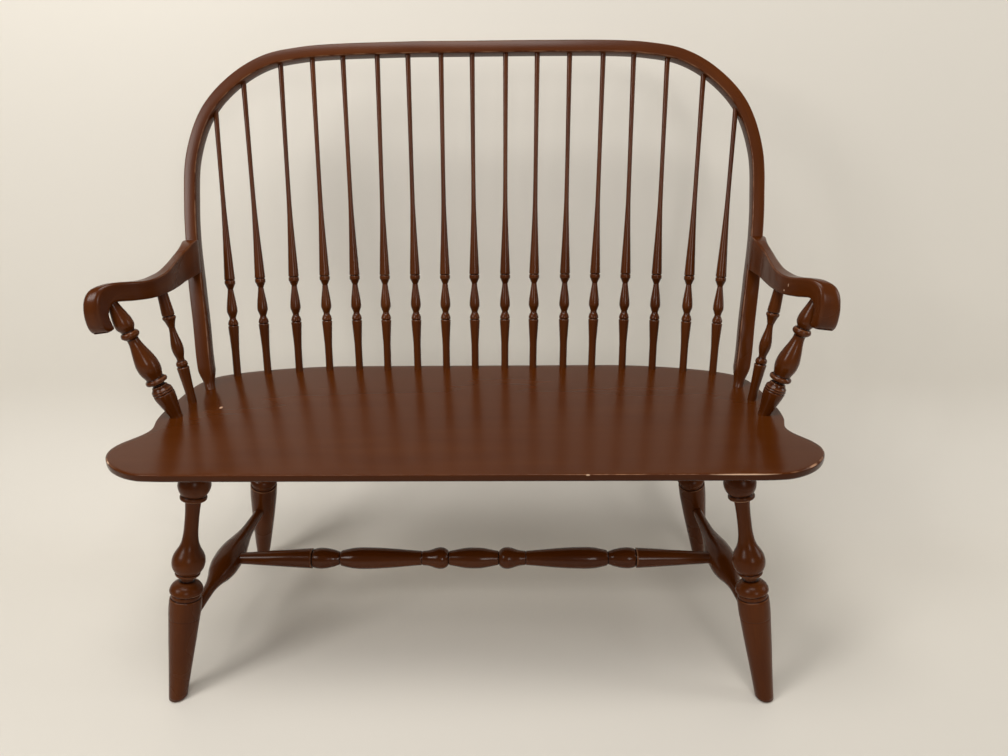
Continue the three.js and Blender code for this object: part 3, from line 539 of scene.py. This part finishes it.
def rounded_section(width, thickness, ease, steps=4):
    """Corner-rounded rectangle as (across, through) points, and how much each lies on an arris."""
    points, arris = [], []
    for sx, sy, start in ((1, 1, 0), (-1, 1, 90), (-1, -1, 180), (1, -1, 270)):
        for k in range(steps + 1):
            angle = math.radians(start + 90 * k / steps)
            points.append((sx * (width / 2 - ease) + ease * math.cos(angle),
                           sy * (thickness / 2 - ease) + ease * math.sin(angle)))
            arris.append(math.sin(math.radians(180 * k / steps)))
    return np.array(points), np.array(arris)


def make_bow():
    line = bow_line.copy()
    first, last = line[0] - (line[1] - line[0]) * 8, line[-1] + (line[-1] - line[-2]) * 8
    line = np.vstack([first, line, last])
    along = np.concatenate([[0], np.cumsum(np.linalg.norm(np.diff(line, axis=0), axis=1))])
    tangent = np.gradient(line, axis=0)
    tangent /= np.linalg.norm(tangent, axis=1)[:, None]
    outward = np.stack([tangent[:, 1], -tangent[:, 0]], 1)
    thinning = smoothstep(line[:, 1] / bow_rise, 0.3, 0.46)
    width = bow_lower_width + (bow_upper_width - bow_lower_width) * thinning
    squareness = smoothstep(line[:, 1], 6 * MM, 6 * MM + bow_foot_taper)
    rings, grain, groove = [], [], []
    for (across, up), out, wide, square, distance in zip(line, outward, width, squareness, along):
        wide = bow_foot_diameter + (wide - bow_foot_diameter) * square
        thick = bow_foot_diameter + (bow_thickness - bow_foot_diameter) * square
        ease = wide / 2 + (bow_ease - wide / 2) * square ** 0.5
        section, arris = rounded_section(wide, thick, min(ease, wide / 2, thick / 2))
        rings.append(in_bow(across + out[0] * section[:, 0], up + out[1] * section[:, 0], section[:, 1]))
        grain.append(np.column_stack([np.full(len(section), distance), section]))
        groove.append(-0.62 * arris * square)
    faces = closed_faces(len(rings), len(rings[0]))
    bench_piece("bow_rail", settled(np.vstack(rings)), faces, np.vstack(grain), np.concatenate(groove),
                stained_wood("bow_wood", roughness=0.25), ["bow"])


make_bow()


# Back spindles: seventeen turned rods, each with a small vase and a bead near the foot
# and a long thin taper above. Their feet are glued into a row of holes in the seat and
# their tops into the underside of the bow, and the outer ones fan out to its corners.
spindle_row_half, spindle_row_back, spindle_row_flat, spindle_row_sweep = 0.45, 14.5 * MM, 0.2, 34 * MM
spindle_top_half = 0.347
spindle_corner_shares = (0.814, 0.914)
spindles_each_side, spindles_under_crown = 8, 6
spindle_turned_height, spindle_full_height = 312 * MM, 583 * MM
spindle_sides, spindle_ease = 24, 0.25 * MM
# Each stands a few millimetres to one side of its even place, at its foot and at its top
spindle_foot_shifts = [-2.5, -4.5, -2.6, -1.2, -0.1, -1.1, 1.2, 0.9, 0.5, 1.7, 0, 2, 1.3, 3.6, 4.1, 4.9, 2.2]
spindle_top_shifts = [0, 0.1, -1, -1.3, -3.8, 0.7, -1.9, 0, -1.8, 0.7, -0.3, 0, 2.4, -0.9, 1.4, -2.7, 5]
spindle_turning = [
    ("curve", (-10, 14), (15, 14), (44, 14.2), (66, 16.2), (86, 18.6), (93.5, 19.4)),
    ("line", (94.6, 17.2), (95.2, 16.2)),
    ("curve", (95.8, 17.8), (97, 18.8), (99, 18.6), (101.5, 17.4), (104, 15.6), (105.6, 14.2)),
    ("line", (106.4, 12.8)), ("curve", (107, 12.4), (109.5, 11.8), (110.6, 12)),
    ("line", (111, 12.4), (119.4, 18.4)),
    ("curve", (120, 18.8), (123, 19.3), (127, 19), (133, 18), (141, 16), (150, 13.4), (157, 11.4),
     (162.6, 10.1)), ("line", (163.6, 10), (164.4, 11), (172, 17.4)),
    ("curve", (172.4, 18.4), (173.6, 19.2), (176, 19.2), (178.2, 19.2), (179.2, 18.8)),
    ("line", (179.8, 16.8), (180.8, 16.8)),
    ("curve", (181.2, 19.2), (200, 17.6), (222, 15.6), (240, 13.9), (258, 12.4), (276, 11), (294, 9.8),
     (312, 8.8)),
]
spindle_taper = [(356, 8.1), (400, 8), (443, 8.2), (486, 8.5), (529, 8.9), (554, 9.2), (583, 9.5)]


def spindle_sweeper():
    """Geometry Nodes tree: sweeps a circle along guide lines whose points carry their radius."""
    tree = bpy.data.node_groups.new("spindle_sweeper", "GeometryNodeTree")
    for name, kind in (("Guides", "Geometry"), ("Sides", "Int"), ("Thickness", "Float"),
                       ("Material", "Material")):
        tree.interface.new_socket(name, in_out="INPUT", socket_type="NodeSocket" + kind)
    tree.interface.new_socket("Spindles", in_out="OUTPUT", socket_type="NodeSocketGeometry")

    def node(kind, **values):
        made = tree.nodes.new(kind if kind.startswith(("Shader", "Node")) else "GeometryNode" + kind)
        for key, value in values.items():
            setattr(made, key, value)
        return made

    def link(start, end):
        tree.links.new(start, end)

    def named(name, data_type):
        made = node("InputNamedAttribute", data_type=data_type)
        made.inputs["Name"].default_value = name
        return made.outputs["Attribute"]

    def store(geometry, name, data_type, value):
        made = node("StoreNamedAttribute", data_type=data_type)
        made.inputs["Name"].default_value = name
        link(geometry, made.inputs["Geometry"])
        link(value, made.inputs["Value"])
        return made.outputs["Geometry"]

    # The guide lines, and a circle that is scaled to each point's radius
    given, result = node("NodeGroupInput"), node("NodeGroupOutput")
    lines = node("MeshToCurve")
    link(given.outputs["Guides"], lines.inputs["Mesh"])
    radius = node("ShaderNodeMath", operation="MULTIPLY")
    link(named("turning", "FLOAT"), radius.inputs[0])
    link(given.outputs["Thickness"], radius.inputs[1])
    circle = node("CurvePrimitiveCircle")
    circle.inputs["Radius"].default_value = 1.0
    link(given.outputs["Sides"], circle.inputs["Resolution"])
    ring = store(circle.outputs["Curve"], "ring", "FLOAT_VECTOR", node("InputPosition").outputs["Position"])
    sweep = node("CurveToMesh")
    link(lines.outputs["Curve"], sweep.inputs["Curve"])
    link(ring, sweep.inputs["Profile Curve"])
    sweep.inputs["Fill Caps"].default_value = True
    link(radius.outputs["Value"], sweep.inputs["Scale"])

    # Grain: the distance up the spindle, and the place across its round section
    place = node("ShaderNodeVectorMath", operation="MULTIPLY")
    spread = node("ShaderNodeCombineXYZ")
    link(named("turning", "FLOAT"), spread.inputs["Y"])
    link(named("turning", "FLOAT"), spread.inputs["Z"])
    turned = node("ShaderNodeSeparateXYZ")
    link(named("ring", "FLOAT_VECTOR"), turned.inputs["Vector"])
    swapped = node("ShaderNodeCombineXYZ")
    link(turned.outputs["X"], swapped.inputs["Y"])
    link(turned.outputs["Y"], swapped.inputs["Z"])
    link(swapped.outputs["Vector"], place.inputs[0])
    link(spread.outputs["Vector"], place.inputs[1])
    distance = node("ShaderNodeCombineXYZ")
    link(named("along", "FLOAT"), distance.inputs["X"])
    grain = node("ShaderNodeVectorMath", operation="ADD")
    link(place.outputs["Vector"], grain.inputs[0])
    link(distance.outputs["Vector"], grain.inputs[1])
    swept = store(sweep.outputs["Mesh"], "grain", "FLOAT_VECTOR", grain.outputs["Vector"])

    smooth = node("SetShadeSmooth")
    link(swept, smooth.inputs["Geometry"])
    whole = node("RealizeInstances")
    link(smooth.outputs["Geometry"], whole.inputs["Geometry"])
    finish = node("SetMaterial")
    link(whole.outputs["Geometry"], finish.inputs["Geometry"])
    link(given.outputs["Material"], finish.inputs["Material"])
    link(finish.outputs["Geometry"], result.inputs["Spindles"])
    return tree


def spindle_ends(k):
    """Foot and top of the spindle that is k places to the right of the middle one."""
    side, place = (-1 if k < 0 else 1), abs(k)
    seat_x = place * spindle_row_half / spindles_each_side
    sweep = max(0, (seat_x - spindle_row_flat) / (spindle_row_half - spindle_row_flat))
    foot = np.array([side * seat_x + spindle_foot_shifts[k + spindles_each_side] * MM,
                     seat_high.y - spindle_row_back - spindle_row_sweep * sweep ** 2, seat_high.z])
    if place > spindles_under_crown:
        top_x = spindle_corner_shares[place - spindles_under_crown - 1] * bow_half_width
    else:
        top_x = place * spindle_top_half / spindles_under_crown
    top_x = side * top_x + spindle_top_shifts[k + spindles_each_side] * MM
    return foot, settled(in_bow(top_x, bow_up_at(abs(top_x)), 0.0))


def make_back_spindles():
    lower = eased_rows(turning_rows(spindle_turning), spindle_ease)
    distance, diameter = np.array(spindle_taper).T * MM
    points, edges, values = [], [], {"turning": [], "along": [], "groove": [], "board": []}
    for k in range(-spindles_each_side, spindles_each_side + 1):
        foot, top = spindle_ends(k)
        length = np.linalg.norm(top - foot)
        stretch = (length - spindle_turned_height) / (spindle_full_height - spindle_turned_height)
        taper = spindle_turned_height + (distance - spindle_turned_height) * stretch
        profile = np.vstack([lower, np.column_stack([taper, diameter / 2])])
        start = len(points)
        points += [foot + (top - foot) * d / length for d in profile[:, 0]]
        edges += [(start + i, start + i + 1) for i in range(len(profile) - 1)]
        values["turning"] += list(profile[:, 1])
        values["along"] += list(profile[:, 0])
        values["groove"] += list(groove_depth(profile))
        values["board"] += [float(next(boards))] * len(profile)
    mesh = bpy.data.meshes.new("spindle_guides")
    mesh.from_pydata([tuple(p) for p in points], edges, [])
    for name, row in values.items():
        mesh.attributes.new(name, "FLOAT", "POINT").data.foreach_set("value", row)
    guides = bpy.data.objects.new("spindle_guides", mesh)
    scene.collection.objects.link(guides)
    modifier = guides.modifiers.new("sweep", "NODES")
    modifier.node_group = spindle_sweeper()
    inputs = {"Sides": spindle_sides, "Thickness": 1.0, "Material": stained_wood("spindle_wood")}
    for item in modifier.node_group.interface.items_tree:
        if item.name in inputs:
            modifier[item.identifier] = inputs[item.name]
    swept = bpy.data.meshes.new_from_object(guides.evaluated_get(bpy.context.evaluated_depsgraph_get()))
    bpy.data.objects.remove(guides)
    face_outward(swept)
    piece = bpy.data.objects.new("back_spindles", swept)
    scene.collection.objects.link(piece)
    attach(piece, "root")
    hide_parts(*[f"back_spindle_{i:02d}" for i in range(1, 2 * spindles_each_side + 2)])


make_back_spindles()


# Arms: each is sawn from a thick board to a long S, let into the front of the bow and
# screwed from behind. It widens forwards, swings outwards, and rolls over at the end
# like a scroll, with its upper edges well rounded for the hand.
arm_height, arm_reach, arm_width = 0.197, 0.232, 33 * MM
arm_flares = {"left": 59.5 * MM, "right": 39.5 * MM}
arm_roll_widths = {"left": 32.7 * MM, "right": 36.9 * MM}
arm_swell, arm_droop, arm_droop_from = 9 * MM, 0.12, 8 * MM
arm_rear_shifts = {"left": -2.7 * MM, "right": 2.7 * MM}
arm_end_ease = 7 * MM
# Place of the inner side, and width, by share of the reach
arm_inner_shares = [(0, 0), (0.24, 0), (0.46, -0.04), (0.63, 0.04), (0.78, 0.3), (0.9, 0.67), (0.96, 0.88),
                    (1.02, 1)]
arm_width_shares = [(0, 0.745), (0.24, 0.53), (0.46, 0.62), (0.63, 0.79), (0.78, 0.93), (0.87, 1),
                    (1.02, 0.97)]
# Outlines seen from the side, by share of the reach and of the height, and where each starts to roll
arm_top_shares = [
    (0.071, 1.294), (0.213, 1.233), (0.386, 1.188), (0.528, 1.157), (0.683, 1.148), (0.752, 1.157),
    (0.82, 1.173), (0.89, 1.183), (0.95, 1.162),
]
arm_roll_shares = [(0.988, 1.105), (1.006, 1.035), (1.01, 0.95), (1.002, 0.865), (0.974, 0.8)]
arm_under_shares = [(0.183, 1), (0.287, 0.988), (0.558, 0.988), (0.692, 0.994), (0.804, 1.01)]
arm_hook_shares = [(0.907, 1.026), (0.932, 0.985), (0.943, 0.93), (0.937, 0.865), (0.932, 0.82),
                   (0.94, 0.795)]
arm_upper_knee, arm_lower_knee = (0.97, 1.14), (0.903, 1.028)
arm_rail_points, arm_rear_rings, arm_roll_rings = 900, 64, 44
arm_rear_low, arm_rear_high, arm_notch_depth = 1.005, 1.283, 3 * MM
notch_low, notch_high = (arm_height * share / math.cos(bow_rake) for share in (arm_rear_low, arm_rear_high))
notch_middle = (notch_low + notch_high) / 2
arm_rear_x = bow_across_at(notch_middle) - bow_lower_width / 2 + 0.2 * MM
arm_rear = in_bow(arm_rear_x, notch_middle, bow_thickness / 2)
arm_lean = ((bow_across_at(notch_high) - bow_across_at(notch_low))
            / ((notch_high - notch_low) * math.cos(bow_rake)))
arm_nicks = [
    ((0.5093, -0.0375, 0.6483), (0.006, 0.0014, 0.0016)), ((0.5119, -0.046, 0.6587), (0.006, 0.0009, 0.0028)),
]
arm_wood = stained_wood("arm_wood", roughness=0.24, nicks_and_highlight=arm_nicks)


def smooth_value(table, x):
    """A smooth curve through a table that never overshoots it."""
    d, v = np.array(table, float).T
    step, slope = np.diff(d), np.diff(v) / np.diff(d)
    tangent = inner_slopes(step, slope)
    tangent[0], tangent[-1] = slope[0], slope[-1]
    x = np.clip(x, d[0], d[-1])
    i = np.clip(np.searchsorted(d, x) - 1, 0, len(step) - 1)
    return between((x - d[i]) / step[i], step[i], v[i], v[i + 1], tangent[i], tangent[i + 1])


def arm_width_at(share, side):
    roll = (arm_roll_widths[side] / arm_width - 1) * smoothstep(share, 0.72, 0.97)
    return arm_width * smooth_value(arm_width_shares, share) * (1 + roll)


def arm_place(forward, height, across, side):
    """A place on the right arm, or on the left arm before it is mirrored: metres forward of its
    rear, height, and share across its width. Its rear follows the bow's lean to the right."""
    share = np.clip(forward / arm_reach, 0, 1.02)
    lean = arm_lean * (1 - smoothstep(share, 0, 0.5)) * (height - arm_rear[2])
    inner = (arm_rear_x + arm_swell * smoothstep(share, 0.045, 0.24)
             + arm_flares[side] * smooth_value(arm_inner_shares, share)
             + arm_rear_shifts[side] * (1 - smoothstep(share, 0.1, 0.9)))
    wide = arm_width_at(share, side) * across
    droop = arm_droop * smoothstep(share, 0.7, 0.95) * (wide - arm_droop_from)
    return np.stack([inner + lean + wide, arm_rear[1] - forward, height - droop], -1)


def arm_rail(notch, shares, knee):
    """The arm's upper or lower outline, as places forward of its rear and heights. Both have
    as many points before the knee and after it, so that they lie across from each other."""
    rear = [in_bow(arm_rear_x, notch, bow_thickness / 2 - depth) for depth in (arm_notch_depth, 0)]
    line = [(arm_rear[1] - corner[1], corner[2]) for corner in rear]
    line += [(forward * arm_reach, seat_high.z + up * arm_height) for forward, up in shares]
    rail = spline(line, arm_rail_points)
    knee_place = np.array((knee[0] * arm_reach, seat_high.z + knee[1] * arm_height))
    turn = int(np.argmin(np.linalg.norm(rail - knee_place, axis=1)))
    picked = np.concatenate([np.linspace(0, turn, arm_rear_rings, endpoint=False),
                             np.linspace(turn, arm_rail_points - 1, arm_roll_rings)])
    return np.stack([np.interp(picked, np.arange(arm_rail_points), rail[:, k]) for k in range(2)], 1)


def arm_section(width, thickness, inset, blunt, share):
    """Across share and through share of a section whose corners have their own roundings."""
    inner_ease = (3.5 + 3 * float(smoothstep(share, 0.6, 0.95))) * MM
    outer_ease = (7 + 9 * float(smoothstep(share, 0.5, 0.92))) * MM
    low_ease = (2.5 + 2 * float(smoothstep(share, 0.6, 0.9))) * MM
    corners = ((0, 0, inner_ease, 180), (1, 0, outer_ease, 270), (1, 1, low_ease, 0), (0, 1, low_ease, 90))
    points, arris = [], []
    for across, through, ease, start in corners:
        most_wide, most_deep = (0.55, 0.75) if (across, through) == (1, 0) else (0.35, 0.2)
        wide_ease = min(ease * blunt, (width - 2 * inset) * most_wide)
        deep_ease = min(ease * blunt, (thickness - 2 * inset) * most_deep)
        centre_x = inset + wide_ease if across == 0 else width - inset - wide_ease
        centre_y = inset + deep_ease if through == 0 else thickness - inset - deep_ease
        for k in range(8):
            angle = math.radians(start + 90 * k / 7)
            points.append(((centre_x + wide_ease * math.cos(angle)) / width,
                           (centre_y + deep_ease * math.sin(angle)) / thickness))
            arris.append(math.sin(math.radians(180 * k / 7)) * min(1, 3.5 * MM / max(wide_ease, 1e-5)))
    return np.array(points), np.array(arris)


def make_arm(side):
    upper = arm_rail(notch_high, arm_top_shares + arm_roll_shares, arm_upper_knee)
    lower = arm_rail(notch_low, arm_under_shares + arm_hook_shares, arm_lower_knee)
    middle = (upper + lower) / 2
    along = np.concatenate([[0], np.cumsum(np.linalg.norm(np.diff(middle, axis=0), axis=1))])
    rings, grain, groove = [], [], []

    def add_ring(up, low, distance, inset):
        thickness = np.linalg.norm(up - low)
        share = float(np.clip((up[0] + low[0]) / 2 / arm_reach, 0, 1.02))
        width = float(arm_width_at(share, side))
        blunt = 0.3 + 0.7 * float(smoothstep(distance, 0.005, 0.04))
        section, arris = arm_section(width, thickness, inset, blunt, share)
        flat = up + (low - up) * section[:, 1:]
        rings.append(arm_place(flat[:, 0], flat[:, 1], section[:, 0], side))
        grain.append(np.column_stack([np.full(len(section), distance),
                                      section[:, 0] * width, section[:, 1] * thickness]))
        groove.append(-0.4 * arris)

    last = next(i for i, distance in enumerate(along) if distance > along[-1] - arm_end_ease)
    for i in range(last):
        add_ring(upper[i], lower[i], along[i], 0)
    start_up, start_low = upper[last], lower[last]
    for k in range(7):
        angle = math.radians(90 * k / 6)
        reach, inset = math.sin(angle), arm_end_ease * (1 - math.cos(angle))
        add_ring(start_up + (upper[-1] - start_up) * reach, start_low + (lower[-1] - start_low) * reach,
                 along[last] + (along[-1] - along[last]) * reach, inset)
    sign = -1 if side == "left" else 1
    faces = closed_faces(len(rings), len(rings[0]))
    bench_piece(f"arm_{side}_carved", np.vstack(rings) * [sign, 1, 1], faces, np.vstack(grain),
                np.concatenate(groove), arm_wood, [f"arm_{side}"])


make_arm("right")
make_arm("left")


# Arm posts and arm spindles: under each arm a stout turned post, a vase between two
# beads, and behind it a slim spindle. Both are glued into the seat and the arm.
post_wood = stained_wood("post_wood")
arm_post_turning = [
    ("curve", (-8, 19.6), (0, 19.6), (12, 23.4), (26, 29), (38, 33.4), (44, 34.6)),
    ("line", (45.2, 33.4), (45.8, 32.2)),
    ("curve", (46.4, 33.6), (48, 34.4), (49.6, 33.6)), ("line", (50.2, 32)),
    ("curve", (50.8, 33.2), (52.2, 33.2), (54, 31), (56, 27.4), (58.6, 25.4)), ("line", (60, 24.4)),
    ("curve", (60.8, 21), (62.4, 19), (64, 20)), ("line", (65, 26), (66, 32)),
    ("curve", (66.6, 33.6), (68.8, 35.4), (71.2, 34.8), (73, 32)), ("line", (74, 29)),
    ("curve", (75, 27.6), (77, 28.2), (81.5, 31), (87.5, 34.4), (95, 36.2), (101, 36), (108, 34), (117, 30),
     (127, 24.8), (136, 20.4), (142.6, 18.4), (147.4, 18.2)), ("line", (148.6, 20.4)),
    ("curve", (149.2, 22), (151.6, 27.2), (154.6, 29.4), (157.6, 28), (159.6, 25.4)), ("line", (160.6, 21)),
    ("curve", (161.4, 20.6), (163, 22), (166.6, 26.2), (170, 28.8), (174.5, 29.6), (180, 28.8), (188, 25.8),
     (196, 22), (204, 18.6), (212, 16.2), (220, 15.4)),
]
arm_spindle_turning = [
    ("curve", (-8, 14.6), (0, 14.6), (20, 15.4), (42, 17.8), (60, 20), (63, 20.4)),
    ("line", (64, 17.8), (65.4, 17)), ("curve", (65.8, 18), (68.4, 19.4), (71, 18.8), (73.8, 16)),
    ("line", (74.6, 13.6)),
    ("curve", (75.8, 12.6), (78.8, 12.6), (84, 15), (90, 18), (97, 19.6), (105, 18.6), (113, 15.8),
     (122, 12.6), (129, 10.8), (134.6, 10.6)),
    ("line", (135.6, 12)), ("curve", (136.2, 12.2), (140.5, 14.4), (144, 16.8), (147.6, 19.8)),
    ("curve", (148.2, 20.8), (150.4, 22), (152.6, 21)), ("line", (153.4, 18.4), (154.6, 18.2)),
    ("curve", (155.4, 20.6), (160, 20.4), (172, 19), (186, 17.6), (200, 16.6)),
]
# Foot on the seat, share of the arm's reach and width at the top, and turned length in millimetres
arm_post_place = (0.4916, 0.204), 0.8685, 0.59, 211.5
arm_spindle_place = (0.489, 0.2645), 0.528, 0.5, 193


def make_under_arm(name, turning, foot, forward, across, length):
    under = seat_high.z + arm_height * float(smooth_value(arm_under_shares + arm_hook_shares[:1], forward))
    for side, sign in (("right", 1), ("left", -1)):
        top = arm_place(forward * arm_reach, under, across, side)
        start = Vector((sign * foot[0], seat_low.y + foot[1], seat_high.z))
        end = Vector((sign * top[0], top[1], top[2]))
        fit = (end - start).length / (length * MM)
        points, faces, grain, groove = turned_mesh(turning_rows(turning))
        points = standing(points * [1, 1, fit], start, end)
        bench_piece(f"{name}_{side}_turned", points, faces, grain, groove, post_wood, [f"{name}_{side}"])


make_under_arm("arm_post", arm_post_turning, *arm_post_place)
make_under_arm("arm_spindle", arm_spindle_turning, *arm_spindle_place)


# Stretchers: one joins the front and the rear leg on each side, swelling smoothly at
# the middle, and a longer one with beads and vases joins those two.
stretcher_wood = stained_wood("stretcher_wood")
stretcher_front_height, stretcher_rear_height, centre_stretcher_share = 0.127, 0.153, 0.515
# Share of the length, and diameter in millimetres
side_stretcher_shares = [
    (0.03, 19), (0.1, 19), (0.2, 19), (0.265, 19.6), (0.3, 22), (0.35, 30), (0.4, 42), (0.458, 49.4),
    (0.515, 50.6), (0.58, 46.6), (0.64, 38), (0.7, 29), (0.75, 23.6), (0.84, 19.6), (0.91, 18.2), (0.97, 17),
]
# From the middle of the centre stretcher outwards, the same to both sides
centre_stretcher_half = [
    ("curve", (0, 38.4), (10, 37.8), (22, 34.8), (34, 30.2), (43, 26.6)),
    ("line", (45.2, 26), (46, 23.4), (46.8, 24)),
    ("curve", (47.4, 27), (52, 34.8), (57, 38.6), (62.7, 39.6), (69, 37.6), (78, 32), (86, 27.8),
     (94.6, 26.2)), ("line", (95.6, 24.6), (96.6, 24.6)),
    ("curve", (97.4, 26.2), (112, 28.4), (135, 32.4), (160, 36.2), (185, 38.9), (208, 39.6), (222, 38),
     (235, 33.4), (246, 28)), ("line", (247.4, 24.6), (248.2, 23.4)),
    ("curve", (249, 23.8), (253, 26.4), (258, 30.2), (264, 33.2)),
    ("curve", (264.6, 33.4), (273, 36.8), (284, 38.4), (292, 37), (297, 34.4)),
    ("line", (298.4, 31.4), (299.4, 31.6)),
    ("curve", (300.2, 37.2), (330, 34), (365, 29.4), (400, 25), (428, 21.6), (452, 19.4)),
]


def make_stretchers():
    ends = {}
    for side in ("left", "right"):
        front = axis_at(f"front_leg_{side}", stretcher_front_height)
        rear = axis_at(f"rear_leg_{side}", stretcher_rear_height)
        length = (rear - front).length
        turning = [("curve", *[(share * length / MM, diameter) for share, diameter in side_stretcher_shares])]
        points, faces, grain, groove = turned_mesh(turning_rows(turning))
        bench_piece(f"side_stretcher_{side}_turned", standing(points, front, rear), faces, grain, groove,
                    stretcher_wood, [f"side_stretcher_{side}"])
        ends[side] = front.lerp(rear, centre_stretcher_share)
    half = turning_rows(centre_stretcher_half)
    rows = [(-distance, diameter) for distance, diameter in half[:0:-1]] + half
    points, faces, grain, groove = turned_mesh(rows)
    middle = (ends["left"] + ends["right"]) / 2
    bench_piece("centre_stretcher_turned", standing(points, middle, ends["right"]), faces, grain, groove,
                stretcher_wood, ["centre_stretcher"])


make_stretchers()


# Small pieces: a screw through the bow holds each arm, with its head sunk under a turned
# wooden plug at the back, and a disc of pressed felt is glued under each foot.
def noisy_material(name, colors, scale, roughness, metallic, bump):
    """Two colours that mix by a fine noise, for felt and for zinc-plated steel."""
    material = bpy.data.materials.new(name)
    material.use_nodes = True
    tree = material.node_tree
    surface = tree.nodes["Principled BSDF"]
    surface.inputs["Roughness"].default_value = roughness
    surface.inputs["Metallic"].default_value = metallic
    place = tree.nodes.new("ShaderNodeTexCoord")
    noise = tree.nodes.new("ShaderNodeTexNoise")
    noise.inputs["Scale"].default_value = scale
    noise.inputs["Detail"].default_value = 4
    shades = tree.nodes.new("ShaderNodeValToRGB")
    shades.color_ramp.elements[0].position, shades.color_ramp.elements[0].color = 0.35, colors[0]
    shades.color_ramp.elements[1].position, shades.color_ramp.elements[1].color = 0.65, colors[1]
    relief = tree.nodes.new("ShaderNodeBump")
    relief.inputs["Strength"].default_value = bump
    relief.inputs["Distance"].default_value = 0.2 * MM
    tree.links.new(place.outputs["Object"], noise.inputs["Vector"])
    tree.links.new(noise.outputs["Fac"], shades.inputs["Fac"])
    tree.links.new(shades.outputs["Color"], surface.inputs["Base Color"])
    tree.links.new(noise.outputs["Fac"], relief.inputs["Height"])
    tree.links.new(relief.outputs["Normal"], surface.inputs["Normal"])
    return material


arm_plug_turning = [("curve", (-0.35, 1), (-0.3, 4), (-0.1, 8), (0.3, 9.4), (0.8, 9.9)), ("line", (5, 9.8))]
felt = noisy_material("felt", ((0.42, 0.37, 0.29, 1), (0.6, 0.55, 0.45, 1)), 1400, 0.95, 0, 0.8)
zinced_steel = noisy_material("zinced_steel", ((0.42, 0.42, 0.4, 1), (0.6, 0.59, 0.55, 1)), 260, 0.34, 1, 0.1)


def make_felt_pad(node):
    low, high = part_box(node)
    height, across = (high.z - low.z) / MM, (high.x - low.x) / MM
    turning = [("curve", (0, across - 1.4), (0.3, across - 0.5), (height / 2, across - 0.1),
                (height - 0.4, across - 0.5), (height - 0.1, across - 1.2))]
    points, faces, grain, groove = turned_mesh(turning_rows(turning))
    points = points + [(low.x + high.x) / 2, (low.y + high.y) / 2, low.z]
    bench_piece(node + "_disc", points, faces, grain, groove, felt, [node])


def make_arm_plug(side):
    sign = -1 if side == "left" else 1
    back, front = (Vector(in_bow(sign * bow_across_at(notch_middle), notch_middle, reach * bow_thickness / 2))
                   for reach in (-1, 1))
    points, faces, grain, groove = turned_mesh(turning_rows(arm_plug_turning))
    bench_piece(f"arm_plug_{side}_turned", standing(points, back, front), faces, grain, groove, post_wood,
                [f"arm_plug_{side}"])


for side in ("left", "right"):
    make_felt_pad(f"felt_pad_front_{side}")
    make_felt_pad(f"felt_pad_rear_{side}")
    make_arm_plug(side)
    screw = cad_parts[f"arm_screw_{side}"]
    screw.data.materials.clear()
    screw.data.materials.append(zinced_steel)


# Floor and light, for the pictures only: a pale floor that curves up into a backdrop and
# is clear from behind and below, a soft lamp overhead, and three more placed like windows.
wall_back, wall_height, wall_curve = 0.72, 1.35, 0.3
floor_front, floor_half_width = -4.0, 4.5
paint_color, light_color = (0.72, 0.69, 0.63, 1), (1, 0.97, 0.93)


def make_stage():
    wall = seat_low.y + wall_back
    profile = [(floor_front, 0.0), (wall - 0.5, 0.0)]
    for k in range(13):
        angle = math.radians(90 * k / 12)
        profile.append((wall - wall_curve * (1 - math.sin(angle)), wall_curve * (1 - math.cos(angle))))
    profile.append((wall, wall_height))
    points = [(x, y, z) for y, z in profile for x in (-floor_half_width, floor_half_width)]
    faces = [(2 * i, 2 * i + 1, 2 * i + 3, 2 * i + 2) for i in range(len(profile) - 1)]
    mesh = bpy.data.meshes.new("floor_sweep")
    mesh.from_pydata(points, [], faces)
    mesh.polygons.foreach_set("use_smooth", [True] * len(mesh.polygons))
    material = bpy.data.materials.new("floor_paint")
    material.use_nodes = True
    surface = material.node_tree.nodes["Principled BSDF"]
    surface.inputs["Base Color"].default_value = paint_color
    surface.inputs["Roughness"].default_value = 0.75
    nodes, links = material.node_tree.nodes, material.node_tree.links
    side = nodes.new("ShaderNodeNewGeometry")
    clear = nodes.new("ShaderNodeBsdfTransparent")
    either = nodes.new("ShaderNodeMixShader")
    links.new(side.outputs["Backfacing"], either.inputs[0])
    links.new(surface.outputs["BSDF"], either.inputs[1])
    links.new(clear.outputs["BSDF"], either.inputs[2])
    links.new(either.outputs["Shader"], nodes["Material Output"].inputs["Surface"])
    mesh.materials.append(material)
    sweep = bpy.data.objects.new("floor_sweep", mesh)
    scene.collection.objects.link(sweep)


make_stage()


def add_lamp(name, place, target, size, power):
    light = bpy.data.lights.new(name, "AREA")
    light.shape = "RECTANGLE"
    light.size, light.size_y = size
    light.energy = power
    light.color = light_color
    lamp = bpy.data.objects.new(name, light)
    lamp.location = place
    lamp.rotation_euler = (Vector(target) - Vector(place)).to_track_quat("-Z", "Y").to_euler()
    scene.collection.objects.link(lamp)


add_lamp("window_front", (1.25, -3.8, 1.75), (0, 0, 0.5), (0.9, 1.0), 25)
add_lamp("window_left", (-2.0, -1.7, 2.0), (0, 0, 0.5), (0.9, 1.1), 32)
add_lamp("ceiling", (-0.3, -0.75, 2.7), (0, 0.05, 0.45), (1.6, 1.0), 42)
add_lamp("window_right", (2.4, -0.3, 1.2), (0.3, 0, 0.5), (0.7, 1.0), 9)
world = bpy.data.worlds.new("room")
world.use_nodes = True
world.node_tree.nodes["Background"].inputs["Color"].default_value = (*light_color, 1)
world.node_tree.nodes["Background"].inputs["Strength"].default_value = 0.16
scene.world = world
